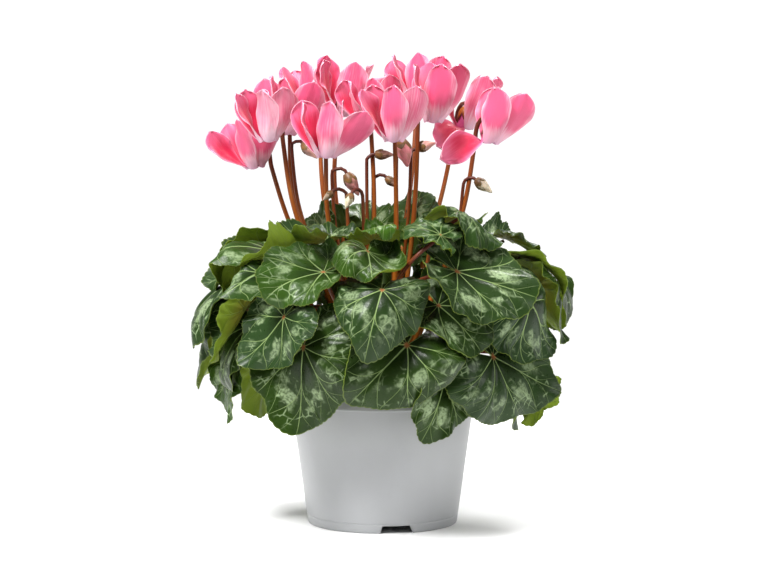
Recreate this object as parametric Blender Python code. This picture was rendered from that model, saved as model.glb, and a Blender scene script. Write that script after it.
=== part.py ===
"""Potted cyclamen: a plastic pot, its soil, a tuber with all the stalks that grow from it, leaves and blooms.

Sizes are in millimetres and angles in degrees, and MM turns a size into Blender's metres.
The pot stands on z = 0 with its axis on the z axis, and the front of the plant faces -Y.
An azimuth is counted from the front towards +X.
"""

import itertools
import math
from dataclasses import dataclass

import bmesh
import bpy
import numpy as np
from mathutils.bvhtree import BVHTree

MM = 0.001
GAP = 0.35  # between pieces that touch
UP = np.array([0.0, 0.0, 1.0])

# Pot, a tapered shell with a collar round its rim and a foot ring under its floor
POT_HEIGHT = 94.0
RIM_RADIUS = 60.0
COLLAR_HEIGHT = 18.0
COLLAR_STEP = 1.2
SHOULDER_RADIUS = 57.4
FOOT_RADIUS = 46.8
POT_WALL = 1.4
FLOOR_LEVEL = 5.5
POT_SIDES = 36
NOTCH_COUNT = 3
NOTCH_WIDTH = 19.0
NOTCH_HEIGHT = 4.8
NOTCH_AZIMUTH = 11.0
DRAIN_COUNT = 6
DRAIN_RADIUS = 3.5
DRAIN_RING = 30.0
DRAIN_SIDES = 10
FOOT_RING = 1.8  # thickness of the ring on which the pot stands

# Soil, and the tuber that sits half out of it
SOIL_LEVEL = 83.0
SOIL_RELIEF = 1.6
SOIL_SIDES = 24
SOIL_FLAT = 8.0  # half width of its rough ring
TUBER_RADIUS = 21.0
TUBER_HEIGHT = 24.0
TUBER_TOP = 97.0
TUBER_SIDES = 14
TUBER_RINGS = (0.07, 0.26, 0.5, 0.74, 0.93)  # shares of its height

# Dome on which the leaf stalks end
DOME_RADIUS = 82.0
DOME_HEIGHT = 74.0
DOME_LEVEL = 109.0
DOME_SQUARENESS = 0.8

# Leaf blades
BLADE_THICKNESS = 0.8
BLADE_RINGS = 3
BLADE_SECTORS = 12
FOLD_SHARE = 0.7  # of the length over which each half turns by its fold
WAVES = 3.4  # waves of the margin per radian
SINUS_ANGLE = math.radians(169)  # the blade spans this much on each side of its midrib
BLADE_CLEARANCE = 2.6  # between the middles of two blades that lie on each other
ROOT_CLEARANCE = 2.5  # more of it round the stalk
LEAST_CLEARANCE = 1.5  # the same for the sheets that the tests use
TEST_RINGS = 5
TEST_SECTORS = 24
LIFT_STEP = 1.0
LIFT_LIMIT = 16
REACH = 5.0  # a blade rests on what is this near to it sideways
BURIED = 24.0  # and passes below what stands this much further out
PITCH_CHOICES = (0, 12, -12, 24, 36)
ROLL_CHOICES = (0, 12, -12, 24, -24)
TURN_COST = 0.08  # millimetres of lift that a degree of turning is worth
LEAF_STALK_RADIUS = 1.35
LEAF_STALK_ROOM = 2.2
END_SHARE = 0.98  # of the stalk that keeps clear of other blades
OWN_REACH = 0.7  # a stalk may be this much nearer to its own blade, at its end
OWN_SLOPE = 0.4  # and less so with the distance from its end
LIFT_POWERS = [(i, j) for i in range(4) for j in range(4 - i)]

# Blooms: a short tube with its mouth down, and five petals swept up from the mouth
PETALS = 5
PETAL_THICKNESS = 0.7
PETAL_ROWS = (0.0, 0.2, 0.48, 0.78, 0.96)
PETAL_WIDTH = 20.0
PETAL_CLAW = 0.5  # width of its foot over its width
TUBE_RADIUS = 4.0
TUBE_HEIGHT = 8.0
LIP_RADIUS = 5.2
FOLD_RADIUS = 5.8
FOLD_DROP = 1.3
FLOWER_STALK_RADIUS = 1.5
BUD_STALK_RADIUS = 1.1
BUD_BEND = 5.0
STALK_MARGIN = 0.9  # between a flower's or bud's stalk and the middle of a blade
ROUTE_POINTS = 5
ROUTE_TESTS = 97
ROUTE_SHIFT = 32  # furthest that a route is shifted aside
ROUTE_SHIFT_STEP = 8
PETAL_COLUMNS = 2
TEST_COLUMNS = 4
BLOOM_CLEARANCE = 2.2
BACK_STEP = 2.0
BACK_LIMIT = 40
PETAL_TURNS = (30, 14, 2, -10, -21)  # each petal's turn towards the stalk's side
CURLED_SPREAD = 85  # a petal that spreads more than this curls down, and any other one curls in
CURL_DOWN = 30
CURL_IN = 8
CURL_IN_SHARE = 0.4  # how much more it curls in for each degree of its spread
TWIST_SHARE = 0.7  # of its twist, at no spread
TWIST_SPREAD = 90  # spread that adds as much as the whole twist
HOOK = ((10.2, -5.0), (10.2, 3.0), (9.5, 8.5), (6.8, 12.8), (3.2, 14.4), (0.0, 12.6))  # radius and level
CALYX = ((3.6, 9.3), (2.6, 11.2), (1.3, 12.6))  # radius and level
BUD_SHARES = (0.0, 0.22, 0.5, 0.78, 1.0)
BUD_RADII = (0.12, 0.24, 0.25, 0.16, 0.04)  # over the bud's length
BUD_SUNK = 1.0


@dataclass
class Leaf:
    """One blade. Left and right are as seen from outside with the tip down."""

    azimuth: float
    rise: float  # position on the dome, 0 at its widest ring and 90 at its top
    length: float  # from the stalk to the tip
    heading: float = 0.0  # turns the tip to the right
    pitch: float = 20.0  # stands the tip out from the dome
    roll: float = 0.0  # stands the right half out and the left half in
    arch: float = 40.0  # bends the tip down
    left: float = 15.0  # folds the left half up
    right: float = 15.0
    ripple: float = 0.07  # height of the margin's waves over the length
    phase: float = 0.0
    out: float = 0.0  # stands the whole leaf off the dome


@dataclass
class Bloom:
    """One flower: where its mouth is, how it leans and how its petals stand."""

    place: tuple
    lean: float = 8.0
    lean_azimuth: float = 0.0
    stalk_azimuth: float = 180.0  # the side on which the stalk passes the mouth
    spread: tuple = (22, 16, 30, 18, 24)  # angle of each petal from the bloom's axis
    length: float = 34.0
    twist: float = 45.0
    bow: float = 5.0  # how far the stalk bows out


@dataclass
class Bud:
    """One nodding bud: the top of its stalk's hook, and the way it hangs."""

    place: tuple
    azimuth: float
    size: float
    droop: float = 150.0  # turn of the hook


LEAVES = [
    Leaf(-14, 8, 29, heading=-12, pitch=10, arch=30, ripple=0.09, phase=4.4),
    Leaf(-82, -4, 36, heading=6, pitch=22, roll=-15, arch=30, out=12),
    Leaf(95, -10, 30, heading=4, pitch=8, roll=-25, arch=30, left=40, right=30, out=12),
    Leaf(26, -6, 39, heading=-22, pitch=20, arch=30, left=55, right=14, phase=0.6, out=2),
    Leaf(48, 0, 58, heading=66, pitch=34, roll=8, arch=30, left=10, right=25, phase=2.0),
    Leaf(-30, 3, 54, heading=-9, pitch=16, arch=34, left=18, right=26, phase=3.9),
    Leaf(9, 4, 49, heading=-46, pitch=20, arch=26, left=24, right=20, ripple=0.11, phase=1.1),
    Leaf(-72, 8, 44, heading=-4, pitch=26, roll=-15, arch=36, left=15, right=60, phase=5.2),
    Leaf(-95, 9, 52, heading=-6, pitch=38, arch=40, phase=2.4),
    Leaf(57, 15, 46, heading=46, pitch=24, roll=8, arch=30, left=12, right=16, phase=3.0),
    Leaf(-36, 12, 41, heading=-44, pitch=22, arch=36, left=14, right=30, ripple=0.08, phase=2.7),
    Leaf(-60, 14, 40, heading=-16, pitch=34, roll=52, arch=20, left=10, right=40, phase=0.2),
    Leaf(25, 20, 41, heading=34, pitch=20, arch=44, left=45, right=12, phase=5.5),
    Leaf(-78, 24, 54, heading=-4, pitch=34, roll=14, arch=34, left=8, right=84, phase=1.9, out=4),
    Leaf(80, 22, 47, heading=4, pitch=38, roll=10, arch=26, phase=4.1, out=5),
    Leaf(0, 20, 42, heading=-14, pitch=34, arch=46, left=26, right=46, ripple=0.09, phase=0.9),
    Leaf(104, 24, 50, heading=-10, pitch=46, roll=8, arch=34, phase=3.3),
    Leaf(-48, 26, 25, heading=-30, pitch=26, roll=20, arch=30, left=62, right=50, ripple=0.12, phase=1.0),
    Leaf(30, 30, 50, heading=60, pitch=6, roll=-6, arch=34, left=30, right=22, phase=1.5),
    Leaf(-27, 34, 38, heading=-34, pitch=14, roll=-8, arch=34, left=62, right=26, phase=5.0),
    Leaf(80, 34, 53, heading=4, pitch=36, roll=8, arch=40, left=20, right=10, phase=1.2),
    Leaf(-54, 38, 38, heading=-34, pitch=24, roll=8, arch=26, left=24, right=88, ripple=0.10, phase=2.2),
    Leaf(-6, 38, 33, heading=12, pitch=-16, arch=26, left=24, right=28, phase=3.6),
    Leaf(-80, 40, 43, heading=-4, pitch=26, roll=-22, arch=40, left=10, right=12, phase=4.8),
    Leaf(24, 42, 23, heading=-122, pitch=22, arch=24, left=20, right=20, phase=0.5, out=3),
    Leaf(104, 42, 30, heading=0, pitch=30, roll=-10, arch=30, phase=0.4),
    Leaf(40, 52, 33, heading=30, pitch=-8, arch=30, left=20, right=24, phase=2.9),
    Leaf(-6, 56, 22, heading=50, pitch=-4, arch=26, left=30, right=20, phase=4.0),
    Leaf(-40, 56, 32, heading=-96, pitch=10, roll=-14, arch=24, left=20, right=30, phase=2.0),
    Leaf(120, 60, 28, heading=0, pitch=52, arch=22, left=26, right=26, phase=3.1),
    Leaf(158, 64, 36, heading=4, pitch=78, arch=16, left=30, right=24, phase=0.7, out=4),
    Leaf(196, 64, 34, heading=-6, pitch=74, arch=16, left=26, right=30, phase=5.4, out=4),
    Leaf(232, 60, 27, heading=0, pitch=46, arch=24, left=24, right=24, phase=1.7),
]

# Rows of leaves on the back: rise, first and last azimuth, count and length
BACK_ROWS = ((-2, 118, 236, 4, 52), (20, 136, 226, 3, 50), (40, 140, 234, 3, 46))
BACK_SEED = 11

BLOOMS = [
    Bloom((-80, -14, 224), lean=10, lean_azimuth=-70, stalk_azimuth=100, spread=(24, 36, 50, 32, 22), length=31),
    Bloom((-70, -24, 240), lean=6, lean_azimuth=-40, stalk_azimuth=120, spread=(26, 28, 32, 24, 26), length=31),
    Bloom((-60, -4, 245), lean=6, lean_azimuth=60, stalk_azimuth=170, spread=(30, 24, 22, 30, 26)),
    Bloom((-45, 30, 261), lean=8, lean_azimuth=200, stalk_azimuth=160, spread=(26, 34, 28, 24, 22), length=30),
    Bloom((-26, 14, 258), lean=12, lean_azimuth=60, stalk_azimuth=190, spread=(30, 34, 30, 52, 28), length=35),
    Bloom((-34, -34, 230), lean=4, lean_azimuth=40, stalk_azimuth=182, spread=(24, 38, 22, 48, 20), length=33),
    Bloom((-6, 0, 249), lean=8, lean_azimuth=-60, stalk_azimuth=190, spread=(26, 34, 26, 30, 24), length=31),
    Bloom((7, -28, 240), lean=5, lean_azimuth=0, stalk_azimuth=176, spread=(28, 32, 24, 26, 26), length=33),
    Bloom((32, -10, 253), lean=6, lean_azimuth=20, stalk_azimuth=-112, spread=(26, 30, 24, 30, 32), length=36),
    Bloom((22, 32, 264), lean=8, lean_azimuth=180, stalk_azimuth=180, spread=(22, 26, 32, 28, 22), length=32),
    Bloom((53, 4, 250), lean=8, lean_azimuth=60, stalk_azimuth=-148, spread=(30, 97, 24, 30, 30), length=35),
    Bloom((66, -18, 239), lean=6, lean_azimuth=80, stalk_azimuth=-120, spread=(100, 30, 38, 26, 24), length=33),
]

BUDS = [
    Bud((-57, 7, 239), 60, 14),
    Bud((-22, -24, 209), -85, 8),
    Bud((-12, -32, 209), -45, 10, droop=170),
    Bud((-32, 14, 222), 80, 16, droop=172),
    Bud((-10, 16, 231), 90, 12, droop=105),
    Bud((-6, 22, 218), 80, 10),
    Bud((9, 10, 242), 20, 19, droop=170),
    Bud((18, 20, 235), 100, 13, droop=85),
    Bud((50, -12, 216), 70, 13, droop=145),
]


def material(name, colour, roughness):
    """A plain finish in the piece's own colour."""
    made = bpy.data.materials.new(name)
    made.use_nodes = True
    shader = made.node_tree.nodes["Principled BSDF"]
    shader.inputs["Base Color"].default_value = (*colour, 1.0)
    shader.inputs["Roughness"].default_value = roughness
    return made


def clear_scene():
    for obj in list(bpy.data.objects):
        bpy.data.objects.remove(obj, do_unlink=True)


def add_mesh(name, points, faces, finish=None, smooth_angle=None):
    """A mesh object whose points are in millimetres."""
    mesh = bpy.data.meshes.new(name)
    mesh.from_pydata((np.asarray(points, float) * MM).tolist(), [], faces)
    mesh.validate()
    if finish:
        mesh.materials.append(finish)
    if smooth_angle:
        mesh.shade_smooth()
        mesh.set_sharp_from_angle(angle=math.radians(smooth_angle))
    obj = bpy.data.objects.new(name, mesh)
    bpy.context.scene.collection.objects.link(obj)
    return obj


def evaluated_mesh(obj):
    """The object's mesh with its modifiers applied, or a curve's as a mesh."""
    bpy.context.view_layer.update()
    graph = bpy.context.evaluated_depsgraph_get()
    return bpy.data.meshes.new_from_object(obj.evaluated_get(graph))


def fuse(base, others):
    """One Boolean union of base with all the others, which are then removed."""
    group = bpy.data.collections.new(base.name + "_repeats")
    bpy.context.scene.collection.children.link(group)
    for other in others:
        bpy.context.scene.collection.objects.unlink(other)
        group.objects.link(other)
    union = base.modifiers.new("union", "BOOLEAN")
    union.operation = "UNION"
    union.operand_type = "COLLECTION"
    union.collection = group
    union.solver = "MANIFOLD"
    base.data = evaluated_mesh(base)
    base.modifiers.clear()
    for other in others:
        bpy.data.objects.remove(other, do_unlink=True)
    bpy.data.collections.remove(group)


def cut(base, cutters):
    """Cuts each cutter out of base, and keeps the result."""
    for cutter in cutters:
        cutter.display_type = "WIRE"
        cutter.hide_render = True
        slot = base.modifiers.new("cut", "BOOLEAN")
        slot.operation = "DIFFERENCE"
        slot.object = cutter
        slot.solver = "EXACT"
    base.data = evaluated_mesh(base)
    base.modifiers.clear()
    for cutter in cutters:
        bpy.data.objects.remove(cutter, do_unlink=True)


def turned(name, profile, sides, finish):
    """A closed solid of revolution: the profile is a list of (radius, level), and a radius of 0 is a pole."""
    points, faces, rings = [], [], []
    for radius, level in profile:
        first = len(points)
        if radius == 0:
            points.append((0.0, 0.0, level))
            rings.append([first] * sides)
            continue
        for i in range(sides):
            angle = 2 * math.pi * i / sides
            points.append((radius * math.sin(angle), -radius * math.cos(angle), level))
        rings.append(list(range(first, first + sides)))
    for low, high in zip(rings, rings[1:] + rings[:1]):
        if low[0] == low[1] and high[0] == high[1]:
            continue
        for i in range(sides):
            j = (i + 1) % sides
            face = list(dict.fromkeys([low[i], low[j], high[j], high[i]]))
            faces.append(face)
    return add_mesh(name, points, faces, finish, smooth_angle=30)


def direction(azimuth):
    """Level unit vector towards an azimuth."""
    angle = math.radians(azimuth)
    return np.array([math.sin(angle), -math.cos(angle), 0.0])


def unit(vector):
    return vector / np.linalg.norm(vector)


# Pot and soil


def pot_radius(level):
    """Outer radius of the pot's body, which tapers from the shoulder to the foot."""
    shoulder = POT_HEIGHT - COLLAR_HEIGHT
    return FOOT_RADIUS + (SHOULDER_RADIUS - FOOT_RADIUS) * level / shoulder


def notch_cutter(azimuth):
    """A wedge through the foot ring, a little wider at its foot."""
    across, out = direction(azimuth + 90), direction(azimuth)
    points = []
    for reach in (FOOT_RADIUS - 8, FOOT_RADIUS + 6):
        for side, level in ((-0.53, -2), (0.53, -2), (0.47, NOTCH_HEIGHT), (-0.47, NOTCH_HEIGHT)):
            points.append(out * reach + across * side * NOTCH_WIDTH + UP * level)
    faces = [(0, 1, 2, 3), (7, 6, 5, 4), (0, 4, 5, 1), (1, 5, 6, 2), (2, 6, 7, 3), (3, 7, 4, 0)]
    cutter = add_mesh("notch", points, faces)
    recalculate(cutter)
    return cutter


def recalculate(obj):
    """Turns every face outwards."""
    shape = bmesh.new()
    shape.from_mesh(obj.data)
    bmesh.ops.recalc_face_normals(shape, faces=shape.faces)
    shape.to_mesh(obj.data)
    shape.free()


def drain_cutter(azimuth):
    """A short cylinder through the pot's floor."""
    centre = direction(azimuth) * DRAIN_RING
    cutter = turned("drain", [(0, 2), (DRAIN_RADIUS, 2), (DRAIN_RADIUS, 10), (0, 10)], DRAIN_SIDES, None)
    cutter.location = centre * MM
    recalculate(cutter)
    return cutter


def make_pot(finish):
    shoulder = POT_HEIGHT - COLLAR_HEIGHT
    inside = -POT_WALL
    profile = [
        (0, FLOOR_LEVEL),
        (FOOT_RADIUS - FOOT_RING, FLOOR_LEVEL),
        (FOOT_RADIUS - FOOT_RING, 0),
        (FOOT_RADIUS - 0.3, 0),
        (pot_radius(1.2), 1.2),
        (pot_radius(shoulder), shoulder),
        (pot_radius(shoulder) + COLLAR_STEP, shoulder + 0.6),
        (RIM_RADIUS, POT_HEIGHT - 1),
        (RIM_RADIUS - 0.6, POT_HEIGHT),
        (RIM_RADIUS - 1.6, POT_HEIGHT),
        (SHOULDER_RADIUS + inside, shoulder),
        (pot_radius(FLOOR_LEVEL) + inside, FLOOR_LEVEL + POT_WALL),
        (0, FLOOR_LEVEL + POT_WALL),
    ]
    pot = turned("pot", profile, POT_SIDES, finish)
    recalculate(pot)
    notches = [notch_cutter(NOTCH_AZIMUTH + i * 360 / NOTCH_COUNT) for i in range(NOTCH_COUNT)]
    drains = [drain_cutter(NOTCH_AZIMUTH + i * 360 / DRAIN_COUNT) for i in range(DRAIN_COUNT)]
    cut(pot, notches + drains)
    return pot


def tuber_radius(level, grown=0.0):
    """Radius of the flattened tuber at a level, grown outwards if asked."""
    middle = TUBER_TOP - TUBER_HEIGHT / 2
    share = (level - middle) / (TUBER_HEIGHT / 2 + grown)
    return (TUBER_RADIUS + grown) * math.sqrt(max(0.0, 1 - share * share))


def make_soil(finish):
    """Fills the pot, and holds the tuber in a plain hollow."""
    level = SOIL_LEVEL
    bottom = FLOOR_LEVEL + POT_WALL + GAP
    inner = pot_radius(level) - POT_WALL - GAP - 0.1
    hollow = [(tuber_radius(z, GAP), z) for z in (level, level - 3, level - 6, level - 8.5)]
    pit = TUBER_TOP - TUBER_HEIGHT - GAP
    middle = (hollow[0][0] + inner) / 2
    profile = [(0, bottom), (pot_radius(bottom) - POT_WALL - GAP - 0.3, bottom), (inner, level)]
    profile += [(middle + SOIL_FLAT, level), (middle - SOIL_FLAT + 2, level)] + hollow + [(0, pit)]
    soil = turned("soil", profile, SOIL_SIDES, finish)
    for vertex in soil.data.vertices:
        x, y, z = (c / MM for c in vertex.co)
        radius = math.hypot(x, y)
        if abs(z - level) < 0.01 and hollow[0][0] + 1 < radius < inner - 1:
            rough = math.sin(0.31 * x + 1.0) * math.cos(0.27 * y) + 0.6 * math.sin(0.7 * y + 0.5 * x)
            vertex.co.z += SOIL_RELIEF * rough * MM
    triangulate(soil)
    recalculate(soil)
    return soil


def triangulate(obj):
    shape = bmesh.new()
    shape.from_mesh(obj.data)
    bmesh.ops.triangulate(shape, faces=shape.faces)
    shape.to_mesh(obj.data)
    shape.free()


# Leaves


def back_leaves():
    """The leaves on the back, in rows, with small seeded differences."""
    draw = np.random.default_rng(BACK_SEED)
    leaves = []
    for rise, first, last, count, length in BACK_ROWS:
        for i in range(count):
            vary = draw.uniform(-1, 1, 8)
            leaves.append(
                Leaf(
                    azimuth=first + (last - first) * i / (count - 1) + 3 * vary[0],
                    rise=rise + 3 * vary[1],
                    length=length + 4 * vary[2],
                    heading=28 * vary[3],
                    pitch=24 + 9 * vary[4],
                    roll=20 * vary[5],
                    arch=36 + 10 * vary[6],
                    left=20 + 12 * vary[7],
                    right=20 - 12 * vary[7],
                    ripple=0.08,
                    phase=3 + 3 * vary[4],
                )
            )
    return leaves


def outline(angle):
    """Margin's distance from the stalk over the blade's length, by the angle from the midrib: heart-shaped."""
    side = np.abs(angle)
    body = 0.68 + 0.32 * np.exp(-((side / 0.55) ** 1.4))
    toward_sinus = np.clip((side - 2.0) / (SINUS_ANGLE - 2.0), 0, 1)
    return body * (1 - 0.34 * toward_sinus**3)


def leaf_frame(leaf):
    """Sets a leaf's root on the dome, the dome's outward direction there, and the blade's own three axes."""
    c, s = math.cos(math.radians(leaf.rise)), math.sin(math.radians(leaf.rise))
    radial, right = direction(leaf.azimuth), direction(leaf.azimuth + 90)
    radius = DOME_RADIUS * abs(c) ** DOME_SQUARENESS
    level = DOME_LEVEL + DOME_HEIGHT * math.copysign(abs(s) ** DOME_SQUARENESS, s)
    outward = unit(DOME_HEIGHT * c * radial + DOME_RADIUS * s * UP)
    downhill = np.cross(right, outward)
    h, p, q = (math.radians(v) for v in (leaf.heading, leaf.pitch, leaf.roll))
    ahead = math.cos(h) * downhill + math.sin(h) * right
    across = np.cross(outward, ahead)
    ahead, face = (
        math.cos(p) * ahead + math.sin(p) * outward,
        math.cos(p) * outward - math.sin(p) * ahead,
    )
    across, face = math.cos(q) * across + math.sin(q) * face, math.cos(q) * face - math.sin(q) * across
    leaf.root = radius * radial + level * UP + leaf.out * outward
    leaf.outward, leaf.axes = outward, (ahead, across, face)
    leaf.lift = np.zeros(len(LIFT_POWERS))


def lift_terms(u, v):
    """Terms of the smooth lift that bends a blade clear of those below, at flat places over the length."""
    return np.stack([u**i * v**j for i, j in LIFT_POWERS], axis=-1)


def blade_points(leaf, rho, angle):
    """Middle surface of a blade: rho runs from the stalk, 0, to the margin, 1.

    The flat heart is folded up along its midrib, waved at its margin, arched down to its tip, and set on the dome.
    """
    reach = leaf.length * rho * outline(angle)
    x, y = reach * np.cos(angle), reach * np.sin(angle)
    lift = lift_terms(x / leaf.length, y / leaf.length) @ leaf.lift
    fold = np.radians(np.where(y > 0, leaf.right, leaf.left)) / (FOLD_SHARE * leaf.length) + 1e-6
    z = (1 - np.cos(fold * y)) / fold
    side = np.sin(fold * y) / fold
    z = z + leaf.ripple * leaf.length * rho**2 * np.sin(WAVES * angle + leaf.phase)
    bend = np.radians(np.where(x > 0, leaf.arch, 0.4 * leaf.arch)) / leaf.length + 1e-6
    along = (1 / bend + z) * np.sin(bend * x)
    height = (1 / bend + z) * np.cos(bend * x) - 1 / bend
    ahead, across, face = leaf.axes
    return (
        leaf.root
        + along[..., None] * ahead
        + side[..., None] * across
        + height[..., None] * face
        + lift[..., None] * leaf.outward
    )


def blade_grid(rings, sectors):
    """(rho, angle) of every ring and spoke of a blade, without its centre."""
    rho = np.arange(1, rings + 1) / rings
    angle = np.linspace(-SINUS_ANGLE, SINUS_ANGLE, sectors + 1)
    return np.meshgrid(rho, angle, indexing="ij")


def needed_lift(leaf, rho, angle, below):
    """How far out each point of a blade must move to clear the points of the blades below it."""
    points = blade_points(leaf, rho, angle)
    away = points[:, None] - below[None]
    height = away @ leaf.outward
    aside = (away**2).sum(2) - height**2
    near = (aside < REACH**2) & (height > -BURIED)
    room = BLADE_CLEARANCE + ROOT_CLEARANCE * np.exp(-((rho / 0.4) ** 2))
    return np.maximum(np.where(near, room[:, None] - height, 0).max(1), 0)


def settle(leaf, below):
    """Lays a blade on those below it: turns it to where it needs the least lift, then bends it clear."""
    rho, angle = (g.ravel() for g in blade_grid(8, 36))
    below = below[((below - leaf.root) ** 2).sum(1) < (leaf.length + 2 * BURIED) ** 2]
    if len(below) == 0:
        return
    pitch, roll = leaf.pitch, leaf.roll
    best = math.inf
    for tip_out in PITCH_CHOICES:
        for side_out in ROLL_CHOICES:
            leaf.pitch, leaf.roll = pitch + tip_out, roll + side_out
            leaf_frame(leaf)
            need = needed_lift(leaf, rho, angle, below)
            cost = need.mean() + 0.3 * need.max() + TURN_COST * (abs(tip_out) + abs(side_out))
            if cost < best:
                best, choice = cost, (leaf.pitch, leaf.roll)
    leaf.pitch, leaf.roll = choice
    leaf_frame(leaf)
    flat = rho * outline(angle)
    terms = lift_terms(flat * np.cos(angle), flat * np.sin(angle))
    for _ in range(2):
        wanted = need = needed_lift(leaf, rho, angle, below)
        for _ in range(6):
            fit = np.linalg.lstsq(terms, wanted, rcond=None)[0]
            wanted = np.maximum(need, terms @ fit)
        leaf.lift = leaf.lift + fit


def blade_mesh(leaf, rings, sectors):
    """Points and triangles of a blade's middle surface: a fan at the stalk, then rings that end at the sinus."""
    rho, angle = blade_grid(rings, sectors)
    centre = blade_points(leaf, np.zeros(1), np.zeros(1))
    points = np.concatenate([centre, blade_points(leaf, rho, angle).reshape(-1, 3)])
    faces = [(0, 1 + i, 2 + i) for i in range(sectors)]
    row = sectors + 1
    for ring in range(rings - 1):
        for i in range(sectors):
            a = 1 + ring * row + i
            b, c, d = a + row, a + row + 1, a + 1
            faces += [(a, b, c), (a, c, d)] if i < sectors / 2 else [(a, b, d), (b, c, d)]
    return points, faces


class Sheet:
    """Triangulated sheets as one, with a tree for tests against others."""

    def __init__(self, *meshes):
        self.points = np.concatenate([points for points, faces in meshes])
        self.faces, first = [], 0
        for points, faces in meshes:
            self.faces += [tuple(first + i for i in face) for face in faces]
            first += len(points)
        self.low, self.high = self.points.min(0), self.points.max(0)
        self.tree = BVHTree.FromPolygons(self.points.tolist(), self.faces)

    def too_close(self, others, room):
        """True where it crosses another sheet, or comes nearer to it than room."""
        for other in others:
            if np.any(self.low - room > other.high) or np.any(other.low - room > self.high):
                continue
            if self.tree.overlap(other.tree):
                return True
            if nearest(other.tree, self.points) < room or nearest(self.tree, other.points) < room:
                return True
        return False


def merged(sheets):
    """One tree over the triangles of several sheets."""
    return Sheet(*[(sheet.points, sheet.faces) for sheet in sheets]).tree


def nearest(tree, points):
    """Least distance from the points to a tree of triangles."""
    return min(tree.find_nearest(point)[3] for point in points.tolist())


def arrange_leaves(holder):
    """All leaves from the innermost out, each one settled on those below it with room for its stalk.

    Returns the leaves and the routes of their stalks. The holder is the pot, which they clear too.
    """
    leaves = back_leaves() + LEAVES
    clouds, sheets, routes = [], [], []
    for leaf in leaves:
        leaf_frame(leaf)
        if clouds:
            settle(leaf, np.concatenate(clouds))
        below = [merged(sheets), holder] if sheets else [holder]
        for _ in range(LIFT_LIMIT):
            fine = blade_mesh(leaf, TEST_RINGS, TEST_SECTORS)
            sheet = Sheet(fine, blade_mesh(leaf, BLADE_RINGS, BLADE_SECTORS))
            if not sheet.too_close(sheets, LEAST_CLEARANCE):
                route, room = leaf_stalk(leaf, sheet, below)
                if room >= LEAF_STALK_ROOM:
                    break
            leaf.lift[0] += LIFT_STEP
        clouds.append(sheet.points)
        sheets.append(sheet)
        routes.append(route)
    for i, leaf in enumerate(leaves):
        others = [merged(sheets[:i] + sheets[i + 1 :]), holder]
        if free_room(routes[i], [(tree, END_SHARE) for tree in others]) < LEAF_STALK_ROOM:
            routes[i], room = leaf_stalk(leaf, sheets[i], others)
    return leaves, merged(sheets), routes


def make_blade(name, leaf, finish):
    blade = add_mesh(name, *blade_mesh(leaf, BLADE_RINGS, BLADE_SECTORS), finish, smooth_angle=50)
    thicken(blade, BLADE_THICKNESS)


def thicken(sheet, thickness):
    """Gives a triangulated sheet its thickness, with the same triangles on both faces."""
    solid = sheet.modifiers.new("thickness", "SOLIDIFY")
    solid.thickness = thickness * MM
    solid.offset = 0


# Blooms


def bloom_frame(bloom):
    """Sets the bloom's own axes: along its axis away from the mouth, towards its stalk, and across."""
    tilt = math.radians(bloom.lean)
    axis = math.cos(tilt) * UP + math.sin(tilt) * direction(bloom.lean_azimuth)
    toward = direction(bloom.stalk_azimuth)
    toward = unit(toward - (toward @ axis) * axis)
    bloom.axes = (toward, np.cross(axis, toward), axis)
    bloom.mouth = np.array(bloom.place, float)


def bloom_point(bloom, radius, angle, level):
    """Point in the bloom's frame: radius and angle round its axis from the stalk's side, and level over the mouth."""
    toward, across, axis = bloom.axes
    radius, angle, level = np.broadcast_arrays(radius, angle, level)
    return (
        bloom.mouth
        + (radius * np.cos(angle))[..., None] * toward
        + (radius * np.sin(angle))[..., None] * across
        + level[..., None] * axis
    )


def petal_width(along):
    """Half width of a petal: a narrow claw, the widest place past the middle, and a round tip."""
    rise = np.clip(along / 0.6, 0, 1)
    swell = rise * rise * (3 - 2 * rise)
    tip = np.clip((along - 0.6) / 0.4, 0, 1)
    return PETAL_WIDTH / 2 * (PETAL_CLAW + (1 - PETAL_CLAW) * swell) * np.sqrt(1 - tip**2.4)


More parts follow.
